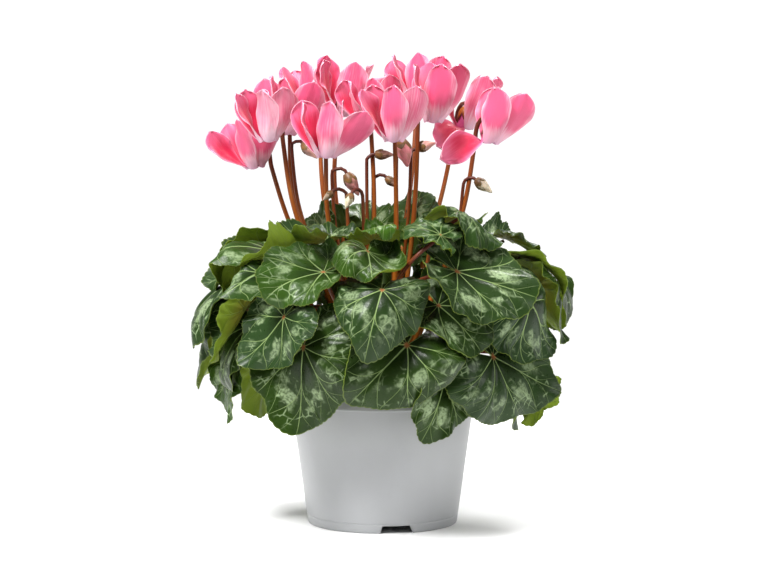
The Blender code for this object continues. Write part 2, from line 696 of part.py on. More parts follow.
def petal_points(bloom, index, across, along):
    """Middle surface of one petal: across from -1 to 1 and along from the fold, 0, to the tip, 1.

    Its midline leaves the fold at the petal's spread and curls in or out. Its hollow cross-section turns
    about the midline, so that one edge of each petal lies outside the next petal, like the blades of a pinwheel.
    """
    ring_angle = math.radians(36 + 72 * index)
    body_angle = ring_angle + math.radians(PETAL_TURNS[index])
    vary = math.sin(2.4 * index + 0.9 * bloom.length + bloom.place[0])
    spread = math.radians(bloom.spread[index])
    curl_in = 10 * vary - CURL_IN - CURL_IN_SHARE * bloom.spread[index]
    curl = math.radians(CURL_DOWN if bloom.spread[index] > CURLED_SPREAD else curl_in)
    reach = along + 0.04 * (1 - across**2) * along**4
    lean = spread + curl * reach
    radius = FOLD_RADIUS + 0.8 + bloom.length * (math.cos(spread) - np.cos(lean)) / curl
    level = -0.3 + bloom.length * (np.sin(lean) - math.sin(spread)) / curl
    twist = bloom.twist * (1 + 0.25 * vary) * (TWIST_SHARE + bloom.spread[index] / TWIST_SPREAD)
    turn = math.radians(twist) * np.clip(along / 0.8, 0, 1) ** 0.6
    side = across * petal_width(along) * bloom.length / 34
    hollow = (0.55 - 0.3 * along) * side**2 / PETAL_WIDTH
    sideways = side * np.cos(turn) + hollow * np.sin(turn)
    outwards = side * np.sin(turn) - hollow * np.cos(turn)
    toward, over, axis = bloom.axes
    radial = math.cos(body_angle) * toward + math.sin(body_angle) * over
    round_axis = -math.sin(body_angle) * toward + math.cos(body_angle) * over
    body = (
        bloom.mouth
        + (radius + outwards * np.cos(lean))[..., None] * radial
        + sideways[..., None] * round_axis
        + (level - outwards * np.sin(lean))[..., None] * axis
    )
    ring = bloom_point(bloom, FOLD_RADIUS, ring_angle + across * math.radians(36), -FOLD_DROP)
    join = np.clip(along / 0.14, 0, 1)[..., None]
    join = join * join * (3 - 2 * join)
    return ring * (1 - join) + body * join


def bloom_mesh(bloom, columns, rows):
    """Tube, mouth and petals as one sheet: each petal has a number of columns that start at the fold's ring."""
    around = columns * PETALS
    angles = 2 * math.pi * np.arange(around) / around
    rings = [(TUBE_RADIUS, TUBE_HEIGHT), (LIP_RADIUS, 0.8), (FOLD_RADIUS, -FOLD_DROP)]
    points = [bloom_point(bloom, 0.0, 0.0, TUBE_HEIGHT + 0.5).reshape(1, 3)]
    points += [bloom_point(bloom, radius, angles, level) for radius, level in rings]
    faces = [(0, 1 + i, 1 + (i + 1) % around) for i in range(around)]
    for ring in range(2):
        for i in range(around):
            a, d = (1 + ring * around + k % around for k in (i, i + 1))
            faces += [(a, a + around, d + around), (a, d + around, d)]
    fold = 1 + 2 * around
    across, along = np.meshgrid(np.linspace(-1, 1, columns + 1), rows[1:])
    for k in range(PETALS):
        first = sum(len(p) for p in points)
        points.append(petal_points(bloom, k, across, along).reshape(-1, 3))
        below = [fold + (columns * k + i) % around for i in range(columns + 1)]
        for row in range(len(rows) - 1):
            here = [first + (columns + 1) * row + i for i in range(columns + 1)]
            for i in range(columns):
                a, b, c, d = below[i], here[i], here[i + 1], below[i + 1]
                faces += [(a, b, d), (b, c, d)] if i < columns / 2 else [(a, b, c), (a, c, d)]
            below = here
    return np.concatenate(points), faces


def hook_ribbon(bloom):
    """A narrow strip along a bloom's hook, which stands in for it in the tests."""
    hook = flower_hook(bloom)
    aside = bloom.axes[1] * FLOWER_STALK_RADIUS
    points = np.concatenate([hook - aside, hook + aside])
    count = len(hook)
    return points, [(i, i + 1, count + i + 1, count + i) for i in range(count - 1)]


def arrange_blooms():
    """The blooms from the front to the back, each one moved back until it clears those before it.

    Returns them with two lists of sheets: the petals, and the petals with the hook over them.
    """
    blooms = sorted(BLOOMS, key=lambda bloom: bloom.place[1])
    petals, hooked = [], []
    for bloom in blooms:
        bloom_frame(bloom)
        for _ in range(BACK_LIMIT):
            meshes = [bloom_mesh(bloom, columns, PETAL_ROWS) for columns in (TEST_COLUMNS, PETAL_COLUMNS)]
            sheet = Sheet(*meshes, hook_ribbon(bloom))
            if not sheet.too_close(hooked, BLOOM_CLEARANCE):
                break
            bloom.mouth = bloom.mouth + np.array([0.0, BACK_STEP, 0.0])
        petals.append(Sheet(*meshes))
        hooked.append(sheet)
    return blooms, petals, hooked


def make_bloom(name, bloom, finish):
    sheet = add_mesh(name, *bloom_mesh(bloom, PETAL_COLUMNS, PETAL_ROWS), finish, smooth_angle=50)
    thicken(sheet, PETAL_THICKNESS)


# Stalks


def bezier(p0, p1, p2, p3, count):
    t = np.linspace(0, 1, count)[:, None]
    return (1 - t) ** 3 * p0 + 3 * (1 - t) ** 2 * t * p1 + 3 * (1 - t) * t**2 * p2 + t**3 * p3


def refined(path):
    """Evenly more points along a path's straight stretches."""
    stops = np.arange(len(path))
    places = np.linspace(0, len(path) - 1, ROUTE_TESTS)
    return np.stack([np.interp(places, stops, path[:, axis]) for axis in range(3)], axis=1)


def free_room(path, trees, enough=0.0):
    """Least distance from a path to several trees, each with the share of the path that it bounds.

    Stops early where the distance is less than enough.
    """
    dense = refined(path)
    room = math.inf
    for tree, share in trees:
        room = min(room, nearest(tree, dense[: round(len(dense) * share)]))
        if room < enough:
            break
    return room


def best_path(paths, trees, enough):
    """The first of the paths with room enough, or else the one with the most."""
    best, most = None, -1.0
    for path in paths:
        room = free_room(path, trees, most)
        if room > most:
            best, most = path, room
        if room >= enough:
            break
    return best


def crown_point(azimuth, radius):
    """Where a stalk leaves the tuber's top, a little inside it."""
    return direction(azimuth) * radius + UP * (TUBER_TOP - 4.5 - 0.03 * radius**2)


def underside(points):
    """Unit normal of a blade's underside at its stalk, from the points of its test sheet."""
    fan = points[1 : TEST_SECTORS + 2] - points[0]
    return -unit(np.cross(fan[:-1], fan[1:]).sum(0))


def leaf_stalk(leaf, sheet, others):
    """Route of a leaf's stalk: out of the tuber, up inside the dome, and to the blade from below.

    Tries the shortest way first, then ways that come at the blade flatter, from its other sides, or leave
    the tuber in another direction.
    """
    below = underside(sheet.points)
    start = crown_point(leaf.azimuth, 4 + 11 * math.cos(math.radians(max(leaf.rise, 0))))
    reach = np.linalg.norm(sheet.points[0] - start)
    back = unit(-leaf.axes[0] - (-leaf.axes[0] @ below) * below)
    aside = np.cross(below, back)
    best, most = None, -math.inf
    for off, early in itertools.product((0, 35, -35), (0.42, 0.6, 0.25)):
        level = math.cos(math.radians(leaf.rise)) * 0.8
        middle = start + unit(direction(leaf.azimuth + off) * level + UP) * reach * early
        for slant, turn in itertools.product((25, 50, 68), (0, 40, -40, 80, -80, 120, -120, 180)):
            s, t = math.radians(slant), math.radians(turn)
            come = math.cos(s) * below + math.sin(s) * (math.cos(t) * back + math.sin(t) * aside)
            end = sheet.points[0] + below * (BLADE_THICKNESS / 2 + GAP + LEAF_STALK_RADIUS * math.sin(s))
            path = bezier(start, middle, end + come * reach * 0.3, end, ROUTE_POINTS)
            room = min(own_room(path, sheet.tree), free_room(path, [(tree, END_SHARE) for tree in others], most))
            if room > most:
                best, most = path, room
            if room >= LEAF_STALK_ROOM:
                return best, most
    return best, most


def own_room(path, tree):
    """Least distance from a stalk to its own blade, where the last stretch may come closer and closer to it."""
    dense = refined(path)
    left = np.linalg.norm(dense - dense[-1], axis=1)
    rooms = np.array([tree.find_nearest(point)[3] for point in dense.tolist()])
    return (rooms + np.maximum(0, LEAF_STALK_ROOM - OWN_REACH - OWN_SLOPE * left)).min()


def flower_hook(bloom):
    """Top of a flower's stalk: past the mouth, over, and down onto the tube."""
    radii, levels = np.array(HOOK).T
    return bloom_point(bloom, radii, 0.0, levels)


def upright_routes(start, end, arrive, bow):
    """Routes from the tuber up to a flower or bud: nearly straight first, then shifted more and more."""
    span = np.linalg.norm(end - start)
    steps = range(-ROUTE_SHIFT, ROUTE_SHIFT + 1, ROUTE_SHIFT_STEP)
    shifts = list(itertools.product(steps, steps))
    shifts.sort(key=lambda shift: math.hypot(1.4 * shift[0], shift[1]))
    for x, y in shifts:
        aside = bow + np.array([x, y, 0.0])
        early = start + (end - start) * 0.36 + aside
        late = end - arrive * 0.3 * span + 0.3 * aside
        yield bezier(start, early, late, end, ROUTE_POINTS)


def flower_stalk(bloom, trees):
    """Route of a flower's stalk from the tuber, past the mouth and over onto the tube."""
    hook = flower_hook(bloom)
    end = hook[0]
    azimuth = math.degrees(math.atan2(end[0], -end[1]))
    start = crown_point(azimuth, 5 + 0.08 * math.hypot(end[0], end[1]))
    bow = unit(np.array([end[0], 0.25 * end[1], 0.001])) * bloom.bow
    routes = upright_routes(start, end, bloom.axes[2], bow)
    path = best_path(routes, trees, FLOWER_STALK_RADIUS + STALK_MARGIN)
    return path, hook[1:]


def bud_stalk(bud, trees):
    """Route of a bud's stalk, its hook, and the direction in which the bud hangs."""
    toward = direction(bud.azimuth)
    turn = np.radians(np.linspace(0, bud.droop, 5))
    curve = (1 - np.cos(turn))[:, None] * toward + (np.sin(turn) - 1)[:, None] * UP
    hook = np.array(bud.place, float) + BUD_BEND * curve
    end = hook[0]
    azimuth = math.degrees(math.atan2(end[0], -end[1]))
    start = crown_point(azimuth + 15, 9)
    routes = upright_routes(start, end, UP, np.array([0.05 * end[0], 0.0, 0.0]))
    path = best_path(routes, trees, BUD_STALK_RADIUS + STALK_MARGIN)
    return path, hook[1:], unit(hook[-1] - hook[-2])


def tube(name, path, radii, sides_step):
    """A round stalk along a path, as a mesh: sides_step 0 gives 4 sides and 1 gives 6."""
    curve = bpy.data.curves.new(name, "CURVE")
    curve.dimensions = "3D"
    curve.bevel_depth = MM
    curve.bevel_resolution = sides_step
    curve.use_fill_caps = True
    spline = curve.splines.new("POLY")
    spline.points.add(len(path) - 1)
    for point, place, radius in zip(spline.points, path, radii):
        point.co = (*(place * MM), 1)
        point.radius = radius
    made = bpy.data.objects.new(name, curve)
    bpy.context.scene.collection.objects.link(made)
    mesh = evaluated_mesh(made)
    bpy.data.objects.remove(made, do_unlink=True)
    shape = bmesh.new()
    shape.from_mesh(mesh)
    bmesh.ops.remove_doubles(shape, verts=shape.verts, dist=1e-5)
    bmesh.ops.recalc_face_normals(shape, faces=shape.faces)
    shape.to_mesh(mesh)
    shape.free()
    solid = bpy.data.objects.new(name, mesh)
    bpy.context.scene.collection.objects.link(solid)
    return solid


def make_stalks(routes, foliage, blooms, petals, hooked, finish):
    """The tuber with every leaf stalk, flower stalk and bud that grows from it, fused into one solid."""
    base = TUBER_TOP - TUBER_HEIGHT
    levels = [base + TUBER_HEIGHT * share for share in TUBER_RINGS]
    profile = [(0, base)] + [(tuber_radius(z), z) for z in levels] + [(0, TUBER_TOP)]
    tuber = turned("tuber_and_stalks", profile, TUBER_SIDES, finish)
    recalculate(tuber)
    stems = []
    radii = LEAF_STALK_RADIUS * np.linspace(1.15, 0.8, ROUTE_POINTS)
    for route in routes:
        stems.append(tube("leaf_stalk", route, radii, 0))
    for i, bloom in enumerate(blooms):
        others = merged(petals[:i] + petals[i + 1 :])
        path, hook = flower_stalk(bloom, [(foliage, 1), (others, 1), (petals[i].tree, END_SHARE)])
        path = np.concatenate([path, hook])
        stems.append(tube("flower_stalk", path, np.full(len(path), FLOWER_STALK_RADIUS), 1))
        widths, levels = np.array(CALYX).T
        stems.append(tube("calyx", bloom_point(bloom, 0.0, 0.0, levels), widths, 1))
    for bud in BUDS:
        path, hook, hang = bud_stalk(bud, [(foliage, 1), (merged(hooked), 1)])
        path = np.concatenate([path, hook])
        stems.append(tube("bud_stalk", path, np.full(len(path), BUD_STALK_RADIUS), 0))
        along = np.array(BUD_SHARES)[:, None] * bud.size - BUD_SUNK
        stems.append(tube("bud", path[-1] + along * hang, np.array(BUD_RADII) * bud.size, 1))
    fuse(tuber, stems)


def tree_of(obj):
    """A tree over an object's faces, in millimetres."""
    points = [tuple(vertex.co / MM) for vertex in obj.data.vertices]
    return BVHTree.FromPolygons(points, [tuple(face.vertices) for face in obj.data.polygons])


def main():
    clear_scene()
    grey_plastic = material("grey_plastic", (0.62, 0.63, 0.64), 0.4)
    earth = material("earth", (0.05, 0.035, 0.025), 0.95)
    stalk_brown = material("stalk_brown", (0.30, 0.11, 0.035), 0.5)
    leaf_green = material("leaf_green", (0.06, 0.16, 0.05), 0.4)
    petal_pink = material("petal_pink", (0.85, 0.18, 0.30), 0.5)
    pot = make_pot(grey_plastic)
    make_soil(earth)
    leaves, foliage, routes = arrange_leaves(tree_of(pot))
    for i, leaf in enumerate(leaves):
        make_blade(f"leaf_{i + 1:02d}", leaf, leaf_green)
    blooms, petals, hooked = arrange_blooms()
    for i, bloom in enumerate(blooms):
        make_bloom(f"bloom_{i + 1:02d}", bloom, petal_pink)
    make_stalks(routes, foliage, blooms, petals, hooked, stalk_brown)


main()
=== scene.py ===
"""Potted cyclamen in flower: the finished look of the plant and its pot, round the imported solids.

Lengths are in millimetres and angles in degrees until a mesh is made, where MM makes them metres.
The pot stands on z = 0 with its axis on the z axis, and the front of the plant faces -Y.
An azimuth is counted from the front towards +X.
"""

import functools
import itertools
import logging
import math
from collections.abc import Iterable, Iterator, Sequence
from dataclasses import dataclass, field
from enum import Enum

import bpy
import numpy as np
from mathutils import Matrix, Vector
from mathutils.bvhtree import BVHTree
from numpy.typing import NDArray


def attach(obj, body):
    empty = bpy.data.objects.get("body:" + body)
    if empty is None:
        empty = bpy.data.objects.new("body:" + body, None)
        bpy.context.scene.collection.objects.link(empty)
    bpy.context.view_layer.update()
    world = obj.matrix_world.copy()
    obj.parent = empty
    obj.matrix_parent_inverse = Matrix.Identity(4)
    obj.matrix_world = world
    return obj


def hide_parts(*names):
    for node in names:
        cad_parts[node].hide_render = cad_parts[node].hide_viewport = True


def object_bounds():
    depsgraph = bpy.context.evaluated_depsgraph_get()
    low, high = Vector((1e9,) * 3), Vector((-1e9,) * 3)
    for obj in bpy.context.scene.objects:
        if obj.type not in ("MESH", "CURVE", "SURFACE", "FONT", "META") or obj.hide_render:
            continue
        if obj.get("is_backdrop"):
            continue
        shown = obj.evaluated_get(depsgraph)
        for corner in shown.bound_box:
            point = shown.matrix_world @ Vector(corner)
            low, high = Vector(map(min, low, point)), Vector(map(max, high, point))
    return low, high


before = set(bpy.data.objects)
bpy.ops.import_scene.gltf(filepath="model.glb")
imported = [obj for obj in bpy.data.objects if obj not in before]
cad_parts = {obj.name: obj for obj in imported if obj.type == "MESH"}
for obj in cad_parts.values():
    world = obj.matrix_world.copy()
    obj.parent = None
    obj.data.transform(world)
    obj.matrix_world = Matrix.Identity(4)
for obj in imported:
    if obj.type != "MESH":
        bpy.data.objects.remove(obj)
cad_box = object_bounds()

Array = NDArray[np.float64]
Socket = bpy.types.NodeSocket
Material = bpy.types.Material
Colour = tuple[float, float, float]
Mesh = tuple[Array, list[tuple[int, ...]]]
Profile = Sequence[tuple[float, float]]
Row = tuple[float, ...]
Rows = tuple[Row, ...]
Trees = Sequence[tuple[BVHTree, float]]

log = logging.getLogger("cyclamen")

MM = 0.001
GAP = 0.35
UP = np.array([0.0, 0.0, 1.0])
ASKEW = np.array([0.31, 0.87, 0.41])
BODY = "root"
STALK_NODE = "tuber_and_stalks"


class Slot(Enum):
    """Names of the material slots."""

    PLASTIC = "grey_plastic"
    EARTH = "earth"
    STALK = "stalk_brown"
    LEAF = "leaf_green"
    PETAL = "petal_pink"


class Side(Enum):
    """Which face of a sheet a point belongs to."""

    FACE = 0.0
    BACK = 1.0


def direction(azimuth: float) -> Array:
    """Level unit vector towards an azimuth."""
    angle = math.radians(azimuth)
    return np.array([math.sin(angle), -math.cos(angle), 0.0])


def unit(vector: Array) -> Array:
    """The vector, or each row of an array of them, divided by its length."""
    return vector / np.linalg.norm(vector, axis=-1, keepdims=True)


def circle(sides: int) -> Array:
    """Angles of evenly spaced points round a circle, in radians."""
    return 2 * math.pi * np.arange(sides) / sides


def spokes(angle: Array, first: Array, second: Array) -> Array:
    """Unit vectors at angles from a first direction to a second: cos a first + sin a second."""
    return np.cos(angle)[..., None] * first + np.sin(angle)[..., None] * second


def square_axes(axis: Array) -> tuple[Array, Array]:
    """Two unit directions square to an axis and to each other."""
    across = unit(np.cross(axis, ASKEW))
    return across, np.cross(axis, across)


def smoothstep(value: Array, low: float, high: float) -> Array:
    """0 below low, 1 above high, and 3t^2 - 2t^3 between them."""
    share = np.clip((value - low) / (high - low), 0.0, 1.0)
    return share * share * (3 - 2 * share)


# Meshes


@dataclass
class Shape:
    """Points with faces and with values carried by the points, before they become a mesh.

    Faces are triangles or quads, as rows of an integer array. Values have one or three columns.
    """

    points: Array
    faces: NDArray[np.int64]
    values: dict[str, Array] = field(default_factory=dict)

    def with_constant(self, name: str, *numbers: float) -> "Shape":
        """The shape with a value that is the same at all its points."""
        self.values[name] = np.tile(np.array(numbers, float), (len(self.points), 1))
        return self

    @staticmethod
    def joined(shapes: Sequence["Shape"]) -> "Shape":
        """Several shapes as one, with the values that they all carry."""
        starts = np.cumsum([0] + [len(shape.points) for shape in shapes])
        faces = [
            np.where(shape.faces < 0, -1, shape.faces + start)
            for shape, start in zip(shapes, starts)
        ]
        names = sorted(set.intersection(*[set(shape.values) for shape in shapes]))
        values = {name: np.concatenate([shape.values[name] for shape in shapes]) for name in names}
        points = np.concatenate([shape.points for shape in shapes])
        return Shape(points, np.concatenate(faces), values)


def grid_faces(rows: int, columns: int, closed: bool = False) -> NDArray[np.int64]:
    """Quads of a grid of points stored row by row.

    Args:
        rows: number of rows of points.
        columns: number of points in a row.
        closed: whether the last point of a row joins its first.

    Returns:
        The quads, each with its corners in turn.
    """
    row = np.arange(rows - 1)[:, None] * columns
    column = np.arange(columns - (not closed))
    here, after = row + column, row + (column + 1) % columns
    return np.stack([here, after, after + columns, here + columns], axis=-1).reshape(-1, 4)


def as_quads(triangles: NDArray[np.int64]) -> NDArray[np.int64]:
    """Triangles as rows of four, in which -1 stands for the missing corner."""
    return np.concatenate([triangles, np.full((len(triangles), 1), -1)], axis=1)


def capped_faces(rings: int, sides: int) -> NDArray[np.int64]:
    """Faces of closed rings, with a fan at each end round the two points that follow them."""
    turn = np.arange(sides)
    after = (turn + 1) % sides
    ends = rings * sides
    last = ends - sides
    caps = [
        np.stack([np.full(sides, ends), after, turn], axis=1),
        np.stack([np.full(sides, ends + 1), last + turn, last + after], axis=1),
    ]
    return np.concatenate([grid_faces(rings, sides, True), as_quads(np.concatenate(caps))])


def point_normals(points: Array, faces: NDArray[np.int64]) -> Array:
    """Unit normals of the points: the normals of the faces round each one, summed by area."""
    a, b, c, d = (points[faces[:, i]] for i in range(4))
    fourth = np.where(faces[:, 3:] < 0, a, d)
    face_normals = np.cross(c - a, fourth - b)
    face_normals = np.where(faces[:, 3:] < 0, np.cross(b - a, c - a), face_normals)
    total = np.zeros_like(points)
    for corner in range(4):
        used = faces[:, corner] >= 0
        np.add.at(total, faces[used, corner], face_normals[used])
    return total / np.maximum(np.linalg.norm(total, axis=1, keepdims=True), 1e-12)


def thick_sheet(sheet: Shape, thickness: Array) -> Shape:
    """Gives a sheet two faces and a rim: a point moves half its thickness both ways on its normal.

    Args:
        sheet: the middle surface, whose faces point to the face side.
        thickness: thickness at each point.

    Returns:
        A closed shape with the sheet's values, and the value "side".
    """
    points, faces = sheet.points, sheet.faces
    offset = point_normals(points, faces) * thickness[:, None] / 2
    count = len(points)
    quads = faces[faces[:, 3] >= 0]
    triangles = faces[faces[:, 3] < 0]
    flipped = [quads[:, ::-1] + count, as_quads(triangles[:, 2::-1] + count)]
    edges = [quads[:, [i, (i + 1) % 4]] for i in range(4)]
    edges = np.concatenate(edges + [triangles[:, [i, (i + 1) % 3]] for i in range(3)])
    keys = edges[:, 0] * count + edges[:, 1]
    open_edges = edges[~np.isin(keys, edges[:, 1] * count + edges[:, 0])]
    a, b = open_edges.T
    rim = np.stack([b, a, a + count, b + count], axis=1)
    values = {name: np.concatenate([value, value]) for name, value in sheet.values.items()}
    values["side"] = np.repeat([[Side.FACE.value], [Side.BACK.value]], count, axis=0)
    both = np.concatenate([points + offset, points - offset])
    return Shape(both, np.concatenate([faces, *flipped, rim]), values)


def make_piece(
    name: str,
    shape: Shape,
    finish: Material,
    slot: Slot,
    nodes: Iterable[str],
    sharp: float = 60.0,
) -> bpy.types.Object:
    """Makes a shape an object of the part, which stands for CAD nodes.

    Args:
        name: the piece's name.
        shape: its points in millimetres, its faces and its values.
        finish: its material.
        slot: the material slot that the finish stands for; not used.
        nodes: the CAD nodes that it replaces.
        sharp: edges that turn more than this stay sharp.

    Returns:
        The object, with its place in its mesh.
    """
    mesh = bpy.data.meshes.new(name)
    corners = shape.faces >= 0
    sizes = corners.sum(1)
    loops = shape.faces[corners]
    mesh.vertices.add(len(shape.points))
    mesh.vertices.foreach_set("co", (shape.points * MM).astype(np.float32).ravel())
    mesh.loops.add(len(loops))
    mesh.loops.foreach_set("vertex_index", loops.astype(np.int32))
    mesh.polygons.add(len(sizes))
    mesh.polygons.foreach_set("loop_start", (np.cumsum(sizes) - sizes).astype(np.int32))
    mesh.update(calc_edges=True)
    mesh.validate()
    for key, value in shape.values.items():
        single = value.shape[1] == 1
        layer = mesh.attributes.new(key, "FLOAT" if single else "FLOAT_VECTOR", "POINT")
        layer.data.foreach_set("value" if single else "vector", value.astype(np.float32).ravel())
    mesh.shade_smooth()
    mesh.set_sharp_from_angle(angle=math.radians(sharp))
    mesh.materials.append(finish)
    piece = bpy.data.objects.new(name, mesh)
    bpy.context.scene.collection.objects.link(piece)
    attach(piece, BODY)
    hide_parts(*nodes)
    log.info("%s: %d faces", name, len(mesh.polygons))
    return piece


# Finishes


class Graph:
    """A material's nodes, built as sums on sockets: a method adds nodes and returns a socket."""

    def __init__(self, name: str, **fixed: float) -> None:
        """Starts a material.

        Args:
            name: its name.
            fixed: the shader's sockets that are the same all over, with _ for a space.
        """
        self.material = bpy.data.materials.new(name)
        self.material.use_nodes = True
        self.tree = self.material.node_tree
        self.shader = self.tree.nodes["Principled BSDF"]
        for socket, value in fixed.items():
            self.shader.inputs[socket.replace("_", " ")].default_value = value

    def put(self, value: object, target: Socket) -> None:
        """Links a socket to the target, or sets a plain number or colour there."""
        if isinstance(value, Socket):
            self.tree.links.new(value, target)
        elif isinstance(value, tuple) and len(value) == 3 and target.type == "RGBA":
            target.default_value = (*value, 1.0)
        else:
            target.default_value = value

    def math(self, operation: str, *values: object) -> Socket:
        """A Math node's result."""
        node = self.tree.nodes.new("ShaderNodeMath")
        node.operation = operation
        for value, target in zip(values, node.inputs):
            self.put(value, target)
        return node.outputs[0]

    def times(self, *values: object) -> Socket:
        """The product of two or more values."""
        return functools.reduce(functools.partial(self.math, "MULTIPLY"), values)

    def plus(self, first: object, second: object) -> Socket:
        """The sum of two values."""
        return self.math("ADD", first, second)

    def scaled(self, value: object, factor: object, offset: object) -> Socket:
        """A value times a factor, plus an offset."""
        return self.math("MULTIPLY_ADD", value, factor, offset)

    def between(self, first: object, second: object) -> Socket:
        """The distance between two values."""
        return self.math("ABSOLUTE", self.math("SUBTRACT", first, second))

    def fade(self, value: object, low: object, high: object, end: float = 0.0) -> Socket:
        """1 below low, end above high, smooth between them."""
        return self.step(value, low, high, 1.0, end)

    def step(
        self, value: object, low: object, high: object, start: float = 0.0, end: float = 1.0
    ) -> Socket:
        """start below low, end above high, smooth between them."""
        node = self.tree.nodes.new("ShaderNodeMapRange")
        node.interpolation_type = "SMOOTHSTEP"
        for number, target in zip((value, low, high, start, end), node.inputs):
            self.put(number, target)
        return node.outputs[0]

    def mix(self, share: object, first: object, second: object, blend: str = "MIX") -> Socket:
        """A colour between two, by a share."""
        node = self.tree.nodes.new("ShaderNodeMix")
        node.data_type = "RGBA"
        node.blend_type = blend
        for value, index in ((share, 0), (first, 6), (second, 7)):
            self.put(value, node.inputs[index])
        return node.outputs[2]

    def noise(
        self, vector: object, scale: float, detail: float = 2.0, distortion: float = 0.0
    ) -> Socket:
        """A cloud pattern from 0 to 1."""
        node = self.tree.nodes.new("ShaderNodeTexNoise")
        self.put(vector, node.inputs["Vector"])
        node.inputs["Scale"].default_value = scale
        node.inputs["Detail"].default_value = detail
        node.inputs["Distortion"].default_value = distortion
        return node.outputs["Fac"]

    def cells(self, vector: object, scale: float) -> Socket:
        """Distance to the nearest border between irregular cells."""
        node = self.tree.nodes.new("ShaderNodeTexVoronoi")
        node.feature = "DISTANCE_TO_EDGE"
        self.put(vector, node.inputs["Vector"])
        node.inputs["Scale"].default_value = scale
        return node.outputs["Distance"]

    def value(self, name: str, output: str = "Vector") -> Socket:
        """A value carried by the piece's points."""
        node = self.tree.nodes.new("ShaderNodeAttribute")
        node.attribute_name = name
        return node.outputs[output]

    def split(self, vector: Socket) -> tuple[Socket, Socket, Socket]:
        """The three parts of a vector."""
        node = self.tree.nodes.new("ShaderNodeSeparateXYZ")
        self.put(vector, node.inputs[0])
        return node.outputs[0], node.outputs[1], node.outputs[2]

    def vector(self, x: object, y: object, z: object) -> Socket:
        """A vector of three parts."""
        node = self.tree.nodes.new("ShaderNodeCombineXYZ")
        for value, target in zip((x, y, z), node.inputs):
            self.put(value, target)
        return node.outputs[0]

    def place(self) -> Socket:
        """The point's place in the part, in metres."""
        return self.tree.nodes.new("ShaderNodeTexCoord").outputs["Object"]

    def finish(
        self, colour: object, roughness: object, height: object = None, depth: float = 0.3
    ) -> Material:
        """Links the shader and returns the material.

        Args:
            colour: base colour.
            roughness: roughness, as a number or a socket.
            height: relief from 0 to 1, if any.
            depth: what a height of 1 is, in millimetres.
        """
        self.put(colour, self.shader.inputs["Base Color"])
        self.put(roughness, self.shader.inputs["Roughness"])
        if height is not None:
            bump = self.tree.nodes.new("ShaderNodeBump")
            bump.inputs["Distance"].default_value = depth * MM
            self.put(height, bump.inputs["Height"])
            self.put(bump.outputs[0], self.shader.inputs["Normal"])
        return self.material


